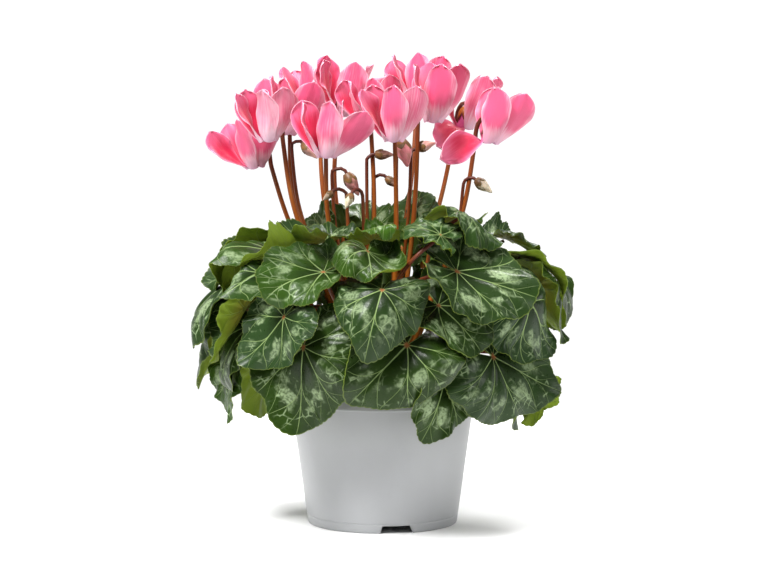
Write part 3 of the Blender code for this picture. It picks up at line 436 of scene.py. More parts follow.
@dataclass(frozen=True)
class LeafFinish:
    """Marbled cyclamen leaf: dark green, with silver blotches between the veins and a pale net.

    The points carry "vein" (place across the vein pattern, distance from the stalk over that to the
    margin, millimetres per step of the pattern), "grain" (flat place and seed) and "dress" (youth,
    silver, blue). A fork's numbers are where it leaves its vein and where it ends, how far it parts
    from it, its width over the vein's, and its brightness. A band starts between its first two
    distances from the stalk and ends between its last two.
    """

    name: str = "marbled_leaf"
    dark: Colour = (0.007, 0.015, 0.003)
    green: Colour = (0.025, 0.055, 0.006)
    young: Colour = (0.065, 0.160, 0.014)
    blue: Colour = (0.022, 0.047, 0.016)
    silver: Colour = (0.300, 0.395, 0.210)
    vein: Colour = (0.215, 0.305, 0.110)
    margin: Colour = (0.085, 0.120, 0.025)
    root: Colour = (0.300, 0.110, 0.040)
    under: Colour = (0.230, 0.310, 0.025)
    under_red: Colour = (0.260, 0.150, 0.030)
    vein_width: float = 0.48
    vein_taper: float = -0.28
    forks: Rows = ((0.36, 1.05, 0.5, 0.62, 0.8), (0.62, 1.08, 0.24, 0.45, 0.6))
    net_scale: float = 0.21
    net_band: Row = (0.45, 0.70, 0.88, 0.97)
    blotch_scale: float = 0.20
    blotch_band: Row = (0.42, 0.54, 0.66, 0.84)
    margin_band: tuple[float, float] = (0.983, 0.996)
    relief: float = 0.34

    def material(self) -> Material:
        """Builds the nodes."""
        g = Graph(self.name, Specular_IOR_Level=0.16)
        across, out, span = g.split(g.value("vein"))
        grain = g.value("grain")
        youth, silvered, blued = g.split(g.value("dress"))
        side = g.value("side", "Fac")
        aside = g.between(across, g.math("ROUND", across))
        net = self.net(g, grain, out)
        midrib = g.fade(g.math("ABSOLUTE", across), 0.4, 3.4, 0.55)
        veins = self.veins(g, aside, out, span, midrib)
        blotch = self.blotches(g, grain, aside, out, silvered)
        body = g.mix(g.noise(grain, 0.06, 3.0), self.dark, self.green)
        body = g.mix(g.times(youth, 0.9), body, self.young)
        body = g.mix(blued, body, self.blue)
        near = g.scaled(g.noise(grain, 0.15, 2.0), 0.3, out)
        body = g.mix(g.step(near, 0.30, 0.70, 0.75, 0.0), body, self.dark)
        body = g.mix(blotch, body, self.silver)
        body = g.mix(net, body, self.silver)
        body = g.mix(veins, body, self.vein)
        body = g.mix(g.step(out, *self.margin_band), body, self.margin)
        body = g.mix(g.fade(out, 0.02, 0.07), body, self.root)
        low = g.mix(g.times(g.fade(out, 0.15, 0.75), 0.6), self.under, self.under_red)
        low = g.mix(g.times(veins, 0.35), low, self.vein)
        low = g.mix(g.times(g.noise(grain, 0.08, 3.0), 0.5), low, self.young)
        gloss = g.scaled(g.noise(grain, 0.5, 3.0), 0.16, 0.22)
        rough = g.scaled(side, 0.2, g.scaled(blotch, 0.08, gloss))
        pebble = g.times(g.noise(grain, 0.9, 4.0), 0.45)
        height = g.math("SUBTRACT", pebble, g.times(veins, 0.7))
        return g.finish(g.mix(side, body, low), rough, height, self.relief)

    def line(self, g: Graph, distance: Socket, width: object) -> Socket:
        """1 on a line of that half width, and 0 a little away from it."""
        return g.fade(g.math("DIVIDE", distance, width), 0.4, 1.5)

    def band(self, g: Graph, place: Socket, ends: Row) -> Socket:
        """1 between the second and third of four distances, and 0 outside the first and last."""
        return g.times(g.step(place, *ends[:2]), g.fade(place, *ends[2:]))

    def veins(self, g: Graph, aside: Socket, out: Socket, span: Socket, midrib: Socket) -> Socket:
        """Main veins from the stalk, thinner to the sides, each forked twice on its way out.

        Args:
            g: the material's graph.
            aside: signed distance from the nearest main vein, in steps.
            out: distance from the stalk over that to the margin.
            span: millimetres per step of the pattern.
            midrib: width of the midrib over the others' near the middle.

        Returns:
            1 on a vein and 0 between them.
        """
        thin = g.times(g.scaled(out, self.vein_taper, self.vein_width), midrib)
        found = self.line(g, g.times(aside, span), thin)
        found = g.times(found, g.fade(out, 0.55, 0.95, 0.6))
        for start, end, reach, share, bright in self.forks:
            branch = g.step(out, start, end, 0.0, reach)
            line = self.line(g, g.times(g.between(aside, branch), span), g.times(thin, share))
            line = g.times(line, g.step(out, start, start + 0.05, 0.0, bright))
            found = g.math("MAXIMUM", found, line)
        return g.times(found, g.fade(out, 0.90, 1.0, 0.4))

    def net(self, g: Graph, grain: Socket, out: Socket) -> Socket:
        """Pale crooked lines in the outer half, in patches."""
        border = g.cells(g.mix(0.2, grain, g.noise(grain, 0.5, 2.0)), self.net_scale)
        line = g.fade(border, 0.01, 0.085)
        patch = g.step(g.noise(grain, 0.13, 3.0), 0.48, 0.62)
        return g.times(line, patch, self.band(g, out, self.net_band), 0.6)

    def blotches(
        self, g: Graph, grain: Socket, aside: Socket, out: Socket, silvered: Socket
    ) -> Socket:
        """Silver patches half way out between the main veins, with ragged mottled edges.

        Args:
            g: the material's graph.
            grain: flat place and seed.
            aside: signed distance from the nearest main vein, in steps.
            out: distance from the stalk over that to the margin.
            silvered: how much of the blade is silver.

        Returns:
            How silver a point is, from 0 to 1.
        """
        ragged = g.scaled(g.noise(grain, self.blotch_scale, 5.0, 0.8), 0.60, -0.30)
        band = self.band(g, g.plus(out, ragged), self.blotch_band)
        between = g.step(g.plus(aside, g.times(ragged, 0.6)), 0.08, 0.26)
        cloud = g.step(g.noise(grain, 0.085, 2.0), 0.44, 0.54)
        fleck = g.step(g.noise(grain, 0.75, 5.0), 0.34, 0.60)
        return g.times(band, between, cloud, g.scaled(fleck, 0.65, 0.35), silvered)


@dataclass(frozen=True)
class PetalFinish:
    """Cyclamen petal: streaked pink outside, crimson inside, white and a little purple at its foot.
    The crimson inside is partly the petal's own colour and partly painted shade of its inward face.

    The points carry "petal" (place across in millimetres, place along from 0 to 1, share of the
    width) and "dress" (depth of colour, seed, 0).
    """

    pale: Colour = (0.800, 0.360, 0.460)
    pink: Colour = (0.690, 0.085, 0.200)
    # crimson of the inward face: partly the petal's own colour, partly painted shade
    crimson: Colour = (0.560, 0.003, 0.050)
    rose: Colour = (0.720, 0.110, 0.230)
    white: Colour = (0.880, 0.700, 0.780)
    purple: Colour = (0.600, 0.190, 0.480)

    def material(self) -> Material:
        """Builds the nodes."""
        g = Graph(
            "streaked_petal", Subsurface_Weight=0.12, Subsurface_Scale=0.004, Sheen_Weight=0.15
        )
        g.shader.inputs["Subsurface Radius"].default_value = (1.0, 0.35, 0.4)
        across, along, share = g.split(g.value("petal"))
        depth, seed, _ = g.split(g.value("dress"))
        side = g.value("side", "Fac")
        fibre = g.vector(g.times(across, 1.5), g.times(along, 2.2), seed)
        streak = g.noise(fibre, 1.0, 4.0, 0.4)
        cloud = g.noise(g.vector(g.times(across, 0.16), g.times(along, 3.0), seed), 1.0, 2.0)
        edge = g.math("ABSOLUTE", share)
        middle = g.times(g.step(along, 0.12, 0.45), g.fade(edge, 0.35, 1.0, 0.25))
        colouring = g.plus(g.times(middle, depth), g.scaled(streak, 0.95, -0.47))
        colouring = g.plus(colouring, g.scaled(cloud, 0.5, -0.25))
        outer = g.mix(g.step(colouring, -0.15, 0.65), self.pale, self.pink)
        away = g.math("MAXIMUM", g.step(along, 0.45, 1.1), g.step(edge, 0.45, 1.1))
        fading = g.plus(away, g.scaled(streak, 0.5, -0.25))
        # partly painted shade: the inward face is crimson, fading to rose towards the tip and edges
        inner = g.mix(g.step(fading, 0.0, 0.8), self.crimson, self.rose)
        body = g.mix(side, inner, outer)
        near = g.plus(along, g.scaled(streak, 0.5, -0.25))
        foot = g.fade(near, -0.05, 0.36)
        paled = g.scaled(depth, -0.6, 0.9)
        body = g.mix(g.times(foot, side, paled), body, self.white)
        body = g.mix(g.times(g.fade(near, -0.15, 0.20), 0.6), body, self.purple)
        worn = g.scaled(cloud, 0.10, -0.05)
        aside, tip = g.step(g.plus(edge, worn), 0.90, 1.0), g.step(g.plus(along, worn), 0.965, 1.0)
        rim = g.math("MAXIMUM", aside, tip)
        colour = g.mix(g.times(rim, 0.3), body, self.white)
        return g.finish(colour, 0.5, streak, 0.2)


@dataclass(frozen=True)
class StemFinish:
    """Stalk: amber brown, redder and darker towards its top, with fine lengthwise streaks.

    The points carry "stem" (angle round in radians, share of the length, millimetres along) and
    "dress" (darkness, seed, 0).
    """

    name: str = "amber_stalk"
    low: Colour = (0.400, 0.125, 0.012)
    middle: Colour = (0.320, 0.075, 0.010)
    top: Colour = (0.075, 0.016, 0.012)
    light: Colour = (0.560, 0.220, 0.030)
    turn: tuple[float, float] = (0.62, 0.97)

    def material(self) -> Material:
        """Builds the nodes."""
        g = Graph(self.name, Specular_IOR_Level=0.25)
        around, along, run = g.split(g.value("stem"))
        shade, seed, _ = g.split(g.value("dress"))
        fibre = g.vector(g.times(g.math("SINE", around), 2.5), g.times(run, 0.035), seed)
        streak = g.noise(fibre, 1.3, 4.0)
        body = g.mix(g.step(along, 0.15, 0.75), self.low, self.middle)
        body = g.mix(g.times(g.step(streak, 0.45, 0.75), 0.5), body, self.light)
        body = g.mix(g.times(g.step(along, *self.turn), 0.9), body, self.top)
        body = g.mix(g.times(shade, 0.6), body, self.top)
        return g.finish(body, g.scaled(streak, 0.2, 0.3), streak, 0.1)


@dataclass(frozen=True)
class BudFinish:
    """Furled bud: ivory or pink petals with green-brown streaks that follow their spiral.

    The points carry "stem" (angle, share of the length, turned angle) and "dress" (pinkness,
    brownness, seed).
    """

    ivory: Colour = (0.720, 0.640, 0.460)
    pink: Colour = (0.780, 0.270, 0.290)
    brown: Colour = (0.130, 0.045, 0.025)
    olive: Colour = (0.240, 0.210, 0.070)

    def material(self) -> Material:
        """Builds the nodes."""
        g = Graph("furled_bud", Subsurface_Weight=0.05, Subsurface_Scale=0.002)
        _, along, turned_angle = g.split(g.value("stem"))
        pinkness, brownness, seed = g.split(g.value("dress"))
        fibre = g.vector(g.math("SINE", turned_angle), g.times(along, 1.2), seed)
        streak = g.noise(fibre, 3.0, 4.0)
        body = g.mix(pinkness, self.ivory, self.pink)
        body = g.mix(g.times(g.step(streak, 0.4, 0.7), 0.45), body, self.olive)
        body = g.mix(g.times(brownness, g.fade(along, 0.2, 1.0, 0.55)), body, self.brown)
        return g.finish(body, 0.45, streak, 0.15)


@dataclass(frozen=True)
class PlasticFinish:
    """Satin pot plastic, pale grey with a very fine grain, with painted shade under the leaves.

    The painted shade deepens from one level to another, and again at the collar's step, in metres.
    """

    name: str = "satin_plastic"
    colour: Colour = (0.385, 0.392, 0.402)
    worn: Colour = (0.345, 0.352, 0.362)
    # painted shade: the dark grey mixed in near the top, where the leaves overhang
    painted_shade: Colour = (0.060, 0.066, 0.056)
    painted_shade_levels: tuple[float, float] = (0.050, 0.080)
    collar_painted_shade_levels: tuple[float, float] = (0.0755, 0.0765)
    painted_shade_share: float = 0.35
    collar_painted_shade_share: float = 0.40

    def material(self) -> Material:
        """Builds the nodes."""
        g = Graph(self.name, Specular_IOR_Level=0.45, Subsurface_Weight=0.0)
        place = g.place()
        cloud = g.noise(place, 18.0, 3.0)
        grain = g.noise(place, 1400.0, 2.0)
        scuff = g.step(g.noise(place, 60.0, 6.0, 0.4), 0.56, 0.72)
        colour = g.mix(g.times(scuff, 0.35), g.mix(cloud, self.colour, self.worn), self.worn)
        level = g.split(place)[2]
        # painted shade: darker from the first level up, and again above the collar's step
        painted_leaf_shade = g.times(g.step(level, *self.painted_shade_levels), self.painted_shade_share)
        collar = g.times(g.step(level, *self.collar_painted_shade_levels), self.collar_painted_shade_share)
        colour = g.mix(g.plus(painted_leaf_shade, collar), colour, self.painted_shade)
        rough = g.scaled(cloud, 0.12, 0.33)
        return g.finish(colour, rough, grain, 0.03)


@dataclass(frozen=True)
class EarthFinish:
    """Peat: near black crumbs with lighter fibres."""

    name: str = "peat"
    dark: Colour = (0.012, 0.008, 0.006)
    light: Colour = (0.090, 0.052, 0.030)
    scale: float = 260.0

    def material(self) -> Material:
        """Builds the nodes."""
        g = Graph(self.name, Specular_IOR_Level=0.2)
        place = g.place()
        crumb = g.noise(place, self.scale, 6.0, 0.5)
        fibre = g.step(g.noise(place, self.scale * 2.5, 5.0, 1.5), 0.60, 0.72)
        colour = g.mix(crumb, self.dark, self.light)
        colour = g.mix(g.times(fibre, 0.5), colour, self.light)
        return g.finish(colour, 0.95, crumb, 1.2)


# Where everything grows: the same rules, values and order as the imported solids


LIFT_POWERS = [(i, j) for i in range(4) for j in range(4 - i)]
BLADE_RINGS = 3
BLADE_SECTORS = 12
TEST_RINGS = 5
TEST_SECTORS = 24
SINUS_ANGLE = math.radians(169)
SOLID_BLADE = 0.8
STALK_ROOM = 2.2
PETALS = 5
PETAL_ROWS = (0.0, 0.2, 0.48, 0.78, 0.96)
FOLD_RADIUS = 5.8
FOLD_DROP = 1.3
FOLD_EDGE = 0.6
FOLD_LOBE = 1.6
TUBE_HEIGHT = 8.0
TUBER_TOP = 97.0
HOOK = ((10.2, -5.0), (10.2, 3.0), (9.5, 8.5), (6.8, 12.8), (3.2, 14.4), (0.0, 12.6))


def lift_terms(u: Array, v: Array) -> Array:
    """Terms u^i v^j with i + j below 4, of the smooth lift that bends a blade clear of others."""
    return np.stack([u**i * v**j for i, j in LIFT_POWERS], axis=-1)


def outline(angle: Array) -> Array:
    """Margin's distance from the stalk over the blade's length at an angle from its midrib.

    It is 0.68 + 0.32 e^-(|a|/0.55)^1.4, drawn in by a third towards the sinus.
    """
    side = np.abs(angle)
    body = 0.68 + 0.32 * np.exp(-((side / 0.55) ** 1.4))
    toward_sinus = np.clip((side - 2.0) / (SINUS_ANGLE - 2.0), 0, 1)
    return body * (1 - 0.34 * toward_sinus**3)


def blade_grid(rings: int, sectors: int) -> tuple[Array, Array]:
    """Shares of the way to the margin, and angles, of all points of a blade but its centre."""
    rho = np.arange(1, rings + 1) / rings
    angle = np.linspace(-SINUS_ANGLE, SINUS_ANGLE, sectors + 1)
    return tuple(np.meshgrid(rho, angle, indexing="ij"))


@dataclass
class Leaf:
    """One blade. Left and right are as seen from outside with the tip down.

    azimuth and rise place it on a dome; length runs from the stalk to the tip; heading, pitch and
    roll turn it; arch bends its tip down; left and right fold its halves up; ripple waves its
    margin, from phase on; out stands it off.
    """

    azimuth: float
    rise: float
    length: float
    heading: float
    pitch: float
    roll: float
    arch: float
    left: float = 15.0
    right: float = 15.0
    ripple: float = 0.07
    phase: float = 0.0
    out: float = 0.0
    root: Array = field(default_factory=lambda: np.zeros(3))
    outward: Array = field(default_factory=lambda: np.zeros(3))
    axes: tuple[Array, Array, Array] = ()
    lift: Array = field(default_factory=lambda: np.zeros(len(LIFT_POWERS)))

    DOME = (82.0, 74.0, 109.0, 0.8)
    CLEARANCE = 2.6
    ROOT_CLEARANCE = 2.5
    REACH = 5.0
    BURIED = 24.0
    PITCH_CHOICES = (0, 12, -12, 24, 36)
    ROLL_CHOICES = (0, 12, -12, 24, -24)
    TURN_COST = 0.08

    def set_frame(self) -> None:
        """Sets the root on a squared dome, the dome's outward direction there, and three axes."""
        dome_radius, dome_height, dome_level, squareness = self.DOME
        c, s = math.cos(math.radians(self.rise)), math.sin(math.radians(self.rise))
        radial, right = direction(self.azimuth), direction(self.azimuth + 90)
        radius = dome_radius * abs(c) ** squareness
        level = dome_level + dome_height * math.copysign(abs(s) ** squareness, s)
        outward = unit(dome_height * c * radial + dome_radius * s * UP)
        downhill = np.cross(right, outward)
        h, p, q = (math.radians(v) for v in (self.heading, self.pitch, self.roll))
        ahead = math.cos(h) * downhill + math.sin(h) * right
        across = np.cross(outward, ahead)
        ahead, face = (
            math.cos(p) * ahead + math.sin(p) * outward,
            math.cos(p) * outward - math.sin(p) * ahead,
        )
        across, face = (
            math.cos(q) * across + math.sin(q) * face,
            math.cos(q) * face - math.sin(q) * across,
        )
        self.root = radius * radial + level * UP + self.out * outward
        self.outward, self.axes = outward, (ahead, across, face)
        self.lift = np.zeros(len(LIFT_POWERS))

    def surface(self, rho: Array, angle: Array, wave: Array | float = 0.0) -> Array:
        """Middle surface of the blade.

        The flat heart, at rho times the outline, is folded up along its midrib as two arcs, waved
        at its margin by sin(3.4 angle + phase), arched down to its tip as an arc, set on the dome,
        and lifted.

        Args:
            rho: share of the way from the stalk to the margin.
            angle: angle from the midrib, in radians.
            wave: extra height over the flat heart.

        Returns:
            The points, in millimetres.
        """
        reach = self.length * rho * outline(angle)
        x, y = reach * np.cos(angle), reach * np.sin(angle)
        lift = lift_terms(x / self.length, y / self.length) @ self.lift
        fold = np.radians(np.where(y > 0, self.right, self.left)) / (0.7 * self.length) + 1e-6
        z = (1 - np.cos(fold * y)) / fold
        side = np.sin(fold * y) / fold
        z = z + self.ripple * self.length * rho**2 * np.sin(3.4 * angle + self.phase) + wave
        bend = np.radians(np.where(x > 0, self.arch, 0.4 * self.arch)) / self.length + 1e-6
        along = (1 / bend + z) * np.sin(bend * x)
        height = (1 / bend + z) * np.cos(bend * x) - 1 / bend
        ahead, across, face = self.axes
        return (
            self.root
            + along[..., None] * ahead
            + side[..., None] * across
            + height[..., None] * face
            + lift[..., None] * self.outward
        )

    def mesh(self, rings: int, sectors: int) -> Mesh:
        """Points and triangles of the blade's middle surface: a fan at the stalk, then rings.

        Args:
            rings: rings round the stalk.
            sectors: steps round the blade.

        Returns:
            The points and the triangles.
        """
        rho, angle = blade_grid(rings, sectors)
        centre = self.surface(np.zeros(1), np.zeros(1))
        points = np.concatenate([centre, self.surface(rho, angle).reshape(-1, 3)])
        faces = [(0, 1 + i, 2 + i) for i in range(sectors)]
        row = sectors + 1
        for ring, i in itertools.product(range(rings - 1), range(sectors)):
            a = 1 + ring * row + i
            b, c, d = a + row, a + row + 1, a + 1
            faces += [(a, b, c), (a, c, d)] if i < sectors / 2 else [(a, b, d), (b, c, d)]
        return points, faces

    def needed_lift(self, rho: Array, angle: Array, below: Array) -> Array:
        """How far out each point must move to clear the points of the blades below it.

        Args:
            rho: shares of the way to the margin.
            angle: angles from the midrib, in radians.
            below: points of the blades below.

        Returns:
            Millimetres for each point, 0 where it is clear.
        """
        points = self.surface(rho, angle)
        away = points[:, None] - below[None]
        height = away @ self.outward
        aside = (away**2).sum(2) - height**2
        near = (aside < self.REACH**2) & (height > -self.BURIED)
        room = self.CLEARANCE + self.ROOT_CLEARANCE * np.exp(-((rho / 0.4) ** 2))
        return np.maximum(np.where(near, room[:, None] - height, 0).max(1), 0)

    def settle(self, below: Array) -> None:
        """Lays the blade on those below it.

        It is turned to where it needs the least lift, and then bent clear by a smooth lift, fitted
        to what each point needs.

        Args:
            below: points of the blades below it.
        """
        rho, angle = (g.ravel() for g in blade_grid(8, 36))
        below = below[((below - self.root) ** 2).sum(1) < (self.length + 2 * self.BURIED) ** 2]
        if len(below) == 0:
            return
        pitch, roll = self.pitch, self.roll
        best, choice = math.inf, (pitch, roll)
        for tip_out, side_out in itertools.product(self.PITCH_CHOICES, self.ROLL_CHOICES):
            self.pitch, self.roll = pitch + tip_out, roll + side_out
            self.set_frame()
            need = self.needed_lift(rho, angle, below)
            cost = need.mean() + 0.3 * need.max() + self.TURN_COST * (abs(tip_out) + abs(side_out))
            if cost < best:
                best, choice = cost, (self.pitch, self.roll)
        self.pitch, self.roll = choice
        self.set_frame()
        flat = rho * outline(angle)
        terms = lift_terms(flat * np.cos(angle), flat * np.sin(angle))
        for _ in range(2):
            wanted = need = self.needed_lift(rho, angle, below)
            for _ in range(6):
                fit = np.linalg.lstsq(terms, wanted, rcond=None)[0]
                wanted = np.maximum(need, terms @ fit)
            self.lift = self.lift + fit


@dataclass(frozen=True)
class StalkKind:
    """How the stalks of one piece are made.

    taper is the share of the radius at the foot and at the top, dense is how many times finer a
    path is before its points are spaced evenly, and shade is the range of its darkness.
    """

    name: str
    radius: float
    taper: tuple[float, float]
    points: int
    sides: int
    dense: int
    shade: tuple[float, float]
    seed: int


LEAF_STALKS = StalkKind("leaf_stalks", 1.35, (1.15, 0.85), 28, 10, 4, (0.1, 0.6), 21)
FLOWER_STALKS = StalkKind("flower_stalks", 1.5, (1.12, 0.9), 60, 14, 6, (0.0, 0.35), 22)
BUD_STALKS = StalkKind("bud_stalks", 1.1, (1.0, 1.0), 48, 10, 6, (0.3, 0.8), 23)
BUD_BEND = 5.0


def fold_level(across: Array) -> Array:
    """Level of the fold at a place across a petal, -1 to 1: a lobe under each petal's middle."""
    return FOLD_EDGE - FOLD_DROP - FOLD_LOBE * (1 - across**2) ** 0.7


@dataclass
class Bloom:
    """One flower: where its mouth is, how it leans and how its petals stand."""

    place: tuple[float, float, float]
    lean: float
    lean_azimuth: float
    stalk_azimuth: float
    spread: tuple[float, ...]
    length: float
    axes: tuple[Array, Array, Array] = ()
    mouth: Array = field(default_factory=lambda: np.zeros(3))

    TWIST = 45.0
    BOW = 5.0
    PETAL_WIDTH = 20.0
    PETAL_TURNS = (30, 14, 2, -10, -21)
    CURLED_SPREAD = 85
    TUBE = ((4.0, TUBE_HEIGHT), (5.2, 0.8), (FOLD_RADIUS, -FOLD_DROP))

    def set_frame(self) -> None:
        """Sets the axes towards the stalk, across, and along the bloom away from its mouth."""
        tilt = math.radians(self.lean)
        axis = math.cos(tilt) * UP + math.sin(tilt) * direction(self.lean_azimuth)
        toward = direction(self.stalk_azimuth)
        toward = unit(toward - (toward @ axis) * axis)
        self.axes = (toward, np.cross(axis, toward), axis)
        self.mouth = np.array(self.place, float)

    def point(self, radius: Array | float, angle: Array | float, level: Array | float) -> Array:
        """Point at a radius and angle round the axis from the stalk's side, and a level.

        Args:
            radius: distance from the axis.
            angle: angle round it, in radians.
            level: distance over the mouth.

        Returns:
            The points, in millimetres.
        """
        toward, across, axis = self.axes
        radius, angle, level = np.broadcast_arrays(radius, angle, level)
        return (
            self.mouth
            + (radius * np.cos(angle))[..., None] * toward
            + (radius * np.sin(angle))[..., None] * across
            + level[..., None] * axis
        )

    def petal_width(self, along: Array) -> Array:
        """Half width of a petal: a claw of 0.5, swelling to 1 at 0.6 of its length, a round tip."""
        swell = smoothstep(along, 0.0, 0.6)
        tip = np.clip((along - 0.6) / 0.4, 0, 1)
        return self.PETAL_WIDTH / 2 * (0.5 + 0.5 * swell) * np.sqrt(np.maximum(1 - tip**2.4, 0))

    def petal_points(
        self, index: int, across: Array, along: Array, wave: Array | float = 0.0
    ) -> Array:
        """Middle surface of one petal.

        Its midline leaves the fold at the petal's spread and curls as an arc. Its hollow
        cross-section turns about the midline, so that one edge of each petal lies outside the
        next, like the blades of a pinwheel.

        Args:
            index: which petal, from the stalk's side round.
            across: from -1 to 1.
            along: from the fold, 0, to the tip, 1.
            wave: extra distance outwards.

        Returns:
            The points, in millimetres.
        """
        ring_angle = math.radians(36 + 72 * index)
        body_angle = ring_angle + math.radians(self.PETAL_TURNS[index])
        vary = math.sin(2.4 * index + 0.9 * self.length + self.place[0])
        opened = self.spread[index]
        spread = math.radians(opened)
        curl = math.radians(30 if opened > self.CURLED_SPREAD else 10 * vary - 8 - 0.4 * opened)
        reach = along + 0.04 * (1 - across**2) * along**4
        lean = spread + curl * reach
        radius = FOLD_RADIUS + 0.8 + self.length * (math.cos(spread) - np.cos(lean)) / curl
        level = -0.3 + self.length * (np.sin(lean) - math.sin(spread)) / curl
        twist = math.radians(self.TWIST * (1 + 0.25 * vary) * (0.7 + opened / 90))
        turn = twist * np.clip(along / 0.8, 0, 1) ** 0.6
        side = across * self.petal_width(along) * self.length / 34
        hollow = (0.55 - 0.3 * along) * side**2 / self.PETAL_WIDTH - wave
        sideways = side * np.cos(turn) + hollow * np.sin(turn)
        outwards = side * np.sin(turn) - hollow * np.cos(turn)
        toward, over, axis = self.axes
        radial = math.cos(body_angle) * toward + math.sin(body_angle) * over
        round_axis = -math.sin(body_angle) * toward + math.cos(body_angle) * over
        body = (
            self.mouth
            + (radius + outwards * np.cos(lean))[..., None] * radial
            + sideways[..., None] * round_axis
            + (level - outwards * np.sin(lean))[..., None] * axis
        )
        ring = self.point(FOLD_RADIUS, ring_angle + across * math.radians(36), fold_level(across))
        join = smoothstep(along, 0.0, 0.14)[..., None]
        return ring * (1 - join) + body * join

    def mesh(self, columns: int) -> Mesh:
        """Tube, mouth and petals as one sheet; each petal's columns start at the fold's ring.

        Args:
            columns: steps across each petal.

        Returns:
            The points and the triangles.
        """
        around = columns * PETALS
        angles = circle(around)
        points = [self.point(0.0, 0.0, TUBE_HEIGHT + 0.5).reshape(1, 3)]
        points += [self.point(radius, angles, level) for radius, level in self.TUBE]
        faces = [(0, 1 + i, 1 + (i + 1) % around) for i in range(around)]
        for ring, i in itertools.product(range(2), range(around)):
            a, d = (1 + ring * around + k % around for k in (i, i + 1))
            faces += [(a, a + around, d + around), (a, d + around, d)]
        fold = 1 + 2 * around
        across, along = np.meshgrid(np.linspace(-1, 1, columns + 1), PETAL_ROWS[1:])
        for k in range(PETALS):
            first = sum(len(p) for p in points)
            points.append(self.petal_points(k, across, along).reshape(-1, 3))
            below = [fold + (columns * k + i) % around for i in range(columns + 1)]
            for row in range(len(PETAL_ROWS) - 1):
                here = [first + (columns + 1) * row + i for i in range(columns + 1)]
                for i in range(columns):
                    a, b, c, d = below[i], here[i], here[i + 1], below[i + 1]
                    faces += [(a, b, d), (b, c, d)] if i < columns / 2 else [(a, b, c), (a, c, d)]
                below = here
        return np.concatenate(points), faces

    def hook(self) -> Array:
        """Top of the flower's stalk: past the mouth, over, and down onto the tube."""
        radii, levels = np.array(HOOK).T
        return self.point(radii, 0.0, levels)

    def hook_ribbon(self) -> Mesh:
        """A narrow strip along the hook, which stands in for it in the tests."""
        hook = self.hook()
        aside = self.axes[1] * FLOWER_STALKS.radius
        count = len(hook)
        faces = [(i, i + 1, count + i + 1, count + i) for i in range(count - 1)]
        return np.concatenate([hook - aside, hook + aside]), faces


@dataclass(frozen=True)
class Bud:
    """One nodding bud: its hook's top, the way it hangs, its size, how pink and how brown it is."""

    place: tuple[float, float, float]
    azimuth: float
    size: float
    droop: float
    pinkness: float
    brownness: float


# Leaves of the front and sides: azimuth, rise, length, heading, pitch, roll, arch, left, right,
# ripple, phase, out
LEAF_ROWS = (
    (-14, 8, 29, -12, 10, 0, 30, 15, 15, 0.09, 4.4, 0),
    (-82, -4, 36, 6, 22, -15, 30, 15, 15, 0.07, 0, 12),
    (95, -10, 30, 4, 8, -25, 30, 40, 30, 0.07, 0, 12),
    (26, -6, 39, -22, 20, 0, 30, 55, 14, 0.07, 0.6, 2),
    (48, 0, 58, 66, 34, 8, 30, 10, 25, 0.07, 2.0, 0),
    (-30, 3, 54, -9, 16, 0, 34, 18, 26, 0.07, 3.9, 0),
    (9, 4, 49, -46, 20, 0, 26, 24, 20, 0.11, 1.1, 0),
    (-72, 8, 44, -4, 26, -15, 36, 15, 60, 0.07, 5.2, 0),
    (-95, 9, 52, -6, 38, 0, 40, 15, 15, 0.07, 2.4, 0),
    (57, 15, 46, 46, 24, 8, 30, 12, 16, 0.07, 3.0, 0),
    (-36, 12, 41, -44, 22, 0, 36, 14, 30, 0.08, 2.7, 0),
    (-60, 14, 40, -16, 34, 52, 20, 10, 40, 0.07, 0.2, 0),
    (25, 20, 41, 34, 20, 0, 44, 45, 12, 0.07, 5.5, 0),
    (-78, 24, 54, -4, 34, 14, 34, 8, 84, 0.07, 1.9, 4),
    (80, 22, 47, 4, 38, 10, 26, 15, 15, 0.07, 4.1, 5),
    (0, 20, 42, -14, 34, 0, 46, 26, 46, 0.09, 0.9, 0),
    (104, 24, 50, -10, 46, 8, 34, 15, 15, 0.07, 3.3, 0),
    (-48, 26, 25, -30, 26, 20, 30, 62, 50, 0.12, 1.0, 0),
    (30, 30, 50, 60, 6, -6, 34, 30, 22, 0.07, 1.5, 0),
    (-27, 34, 38, -34, 14, -8, 34, 62, 26, 0.07, 5.0, 0),
    (80, 34, 53, 4, 36, 8, 40, 20, 10, 0.07, 1.2, 0),
    (-54, 38, 38, -34, 24, 8, 26, 24, 88, 0.1, 2.2, 0),
    (-6, 38, 33, 12, -16, 0, 26, 24, 28, 0.07, 3.6, 0),
    (-80, 40, 43, -4, 26, -22, 40, 10, 12, 0.07, 4.8, 0),
    (24, 42, 23, -122, 22, 0, 24, 20, 20, 0.07, 0.5, 3),
    (104, 42, 30, 0, 30, -10, 30, 15, 15, 0.07, 0.4, 0),
    (40, 52, 33, 30, -8, 0, 30, 20, 24, 0.07, 2.9, 0),
    (-6, 56, 22, 50, -4, 0, 26, 30, 20, 0.07, 4.0, 0),
    (-40, 56, 32, -96, 10, -14, 24, 20, 30, 0.07, 2.0, 0),
    (120, 60, 28, 0, 52, 0, 22, 26, 26, 0.07, 3.1, 0),
    (158, 64, 36, 4, 78, 0, 16, 30, 24, 0.07, 0.7, 4),
    (196, 64, 34, -6, 74, 0, 16, 26, 30, 0.07, 5.4, 4),
    (232, 60, 27, 0, 46, 0, 24, 24, 24, 0.07, 1.7, 0),
)

BACK_ROWS = ((-2, 118, 236, 4, 52), (20, 136, 226, 3, 50), (40, 140, 234, 3, 46))
BACK_SEED = 11

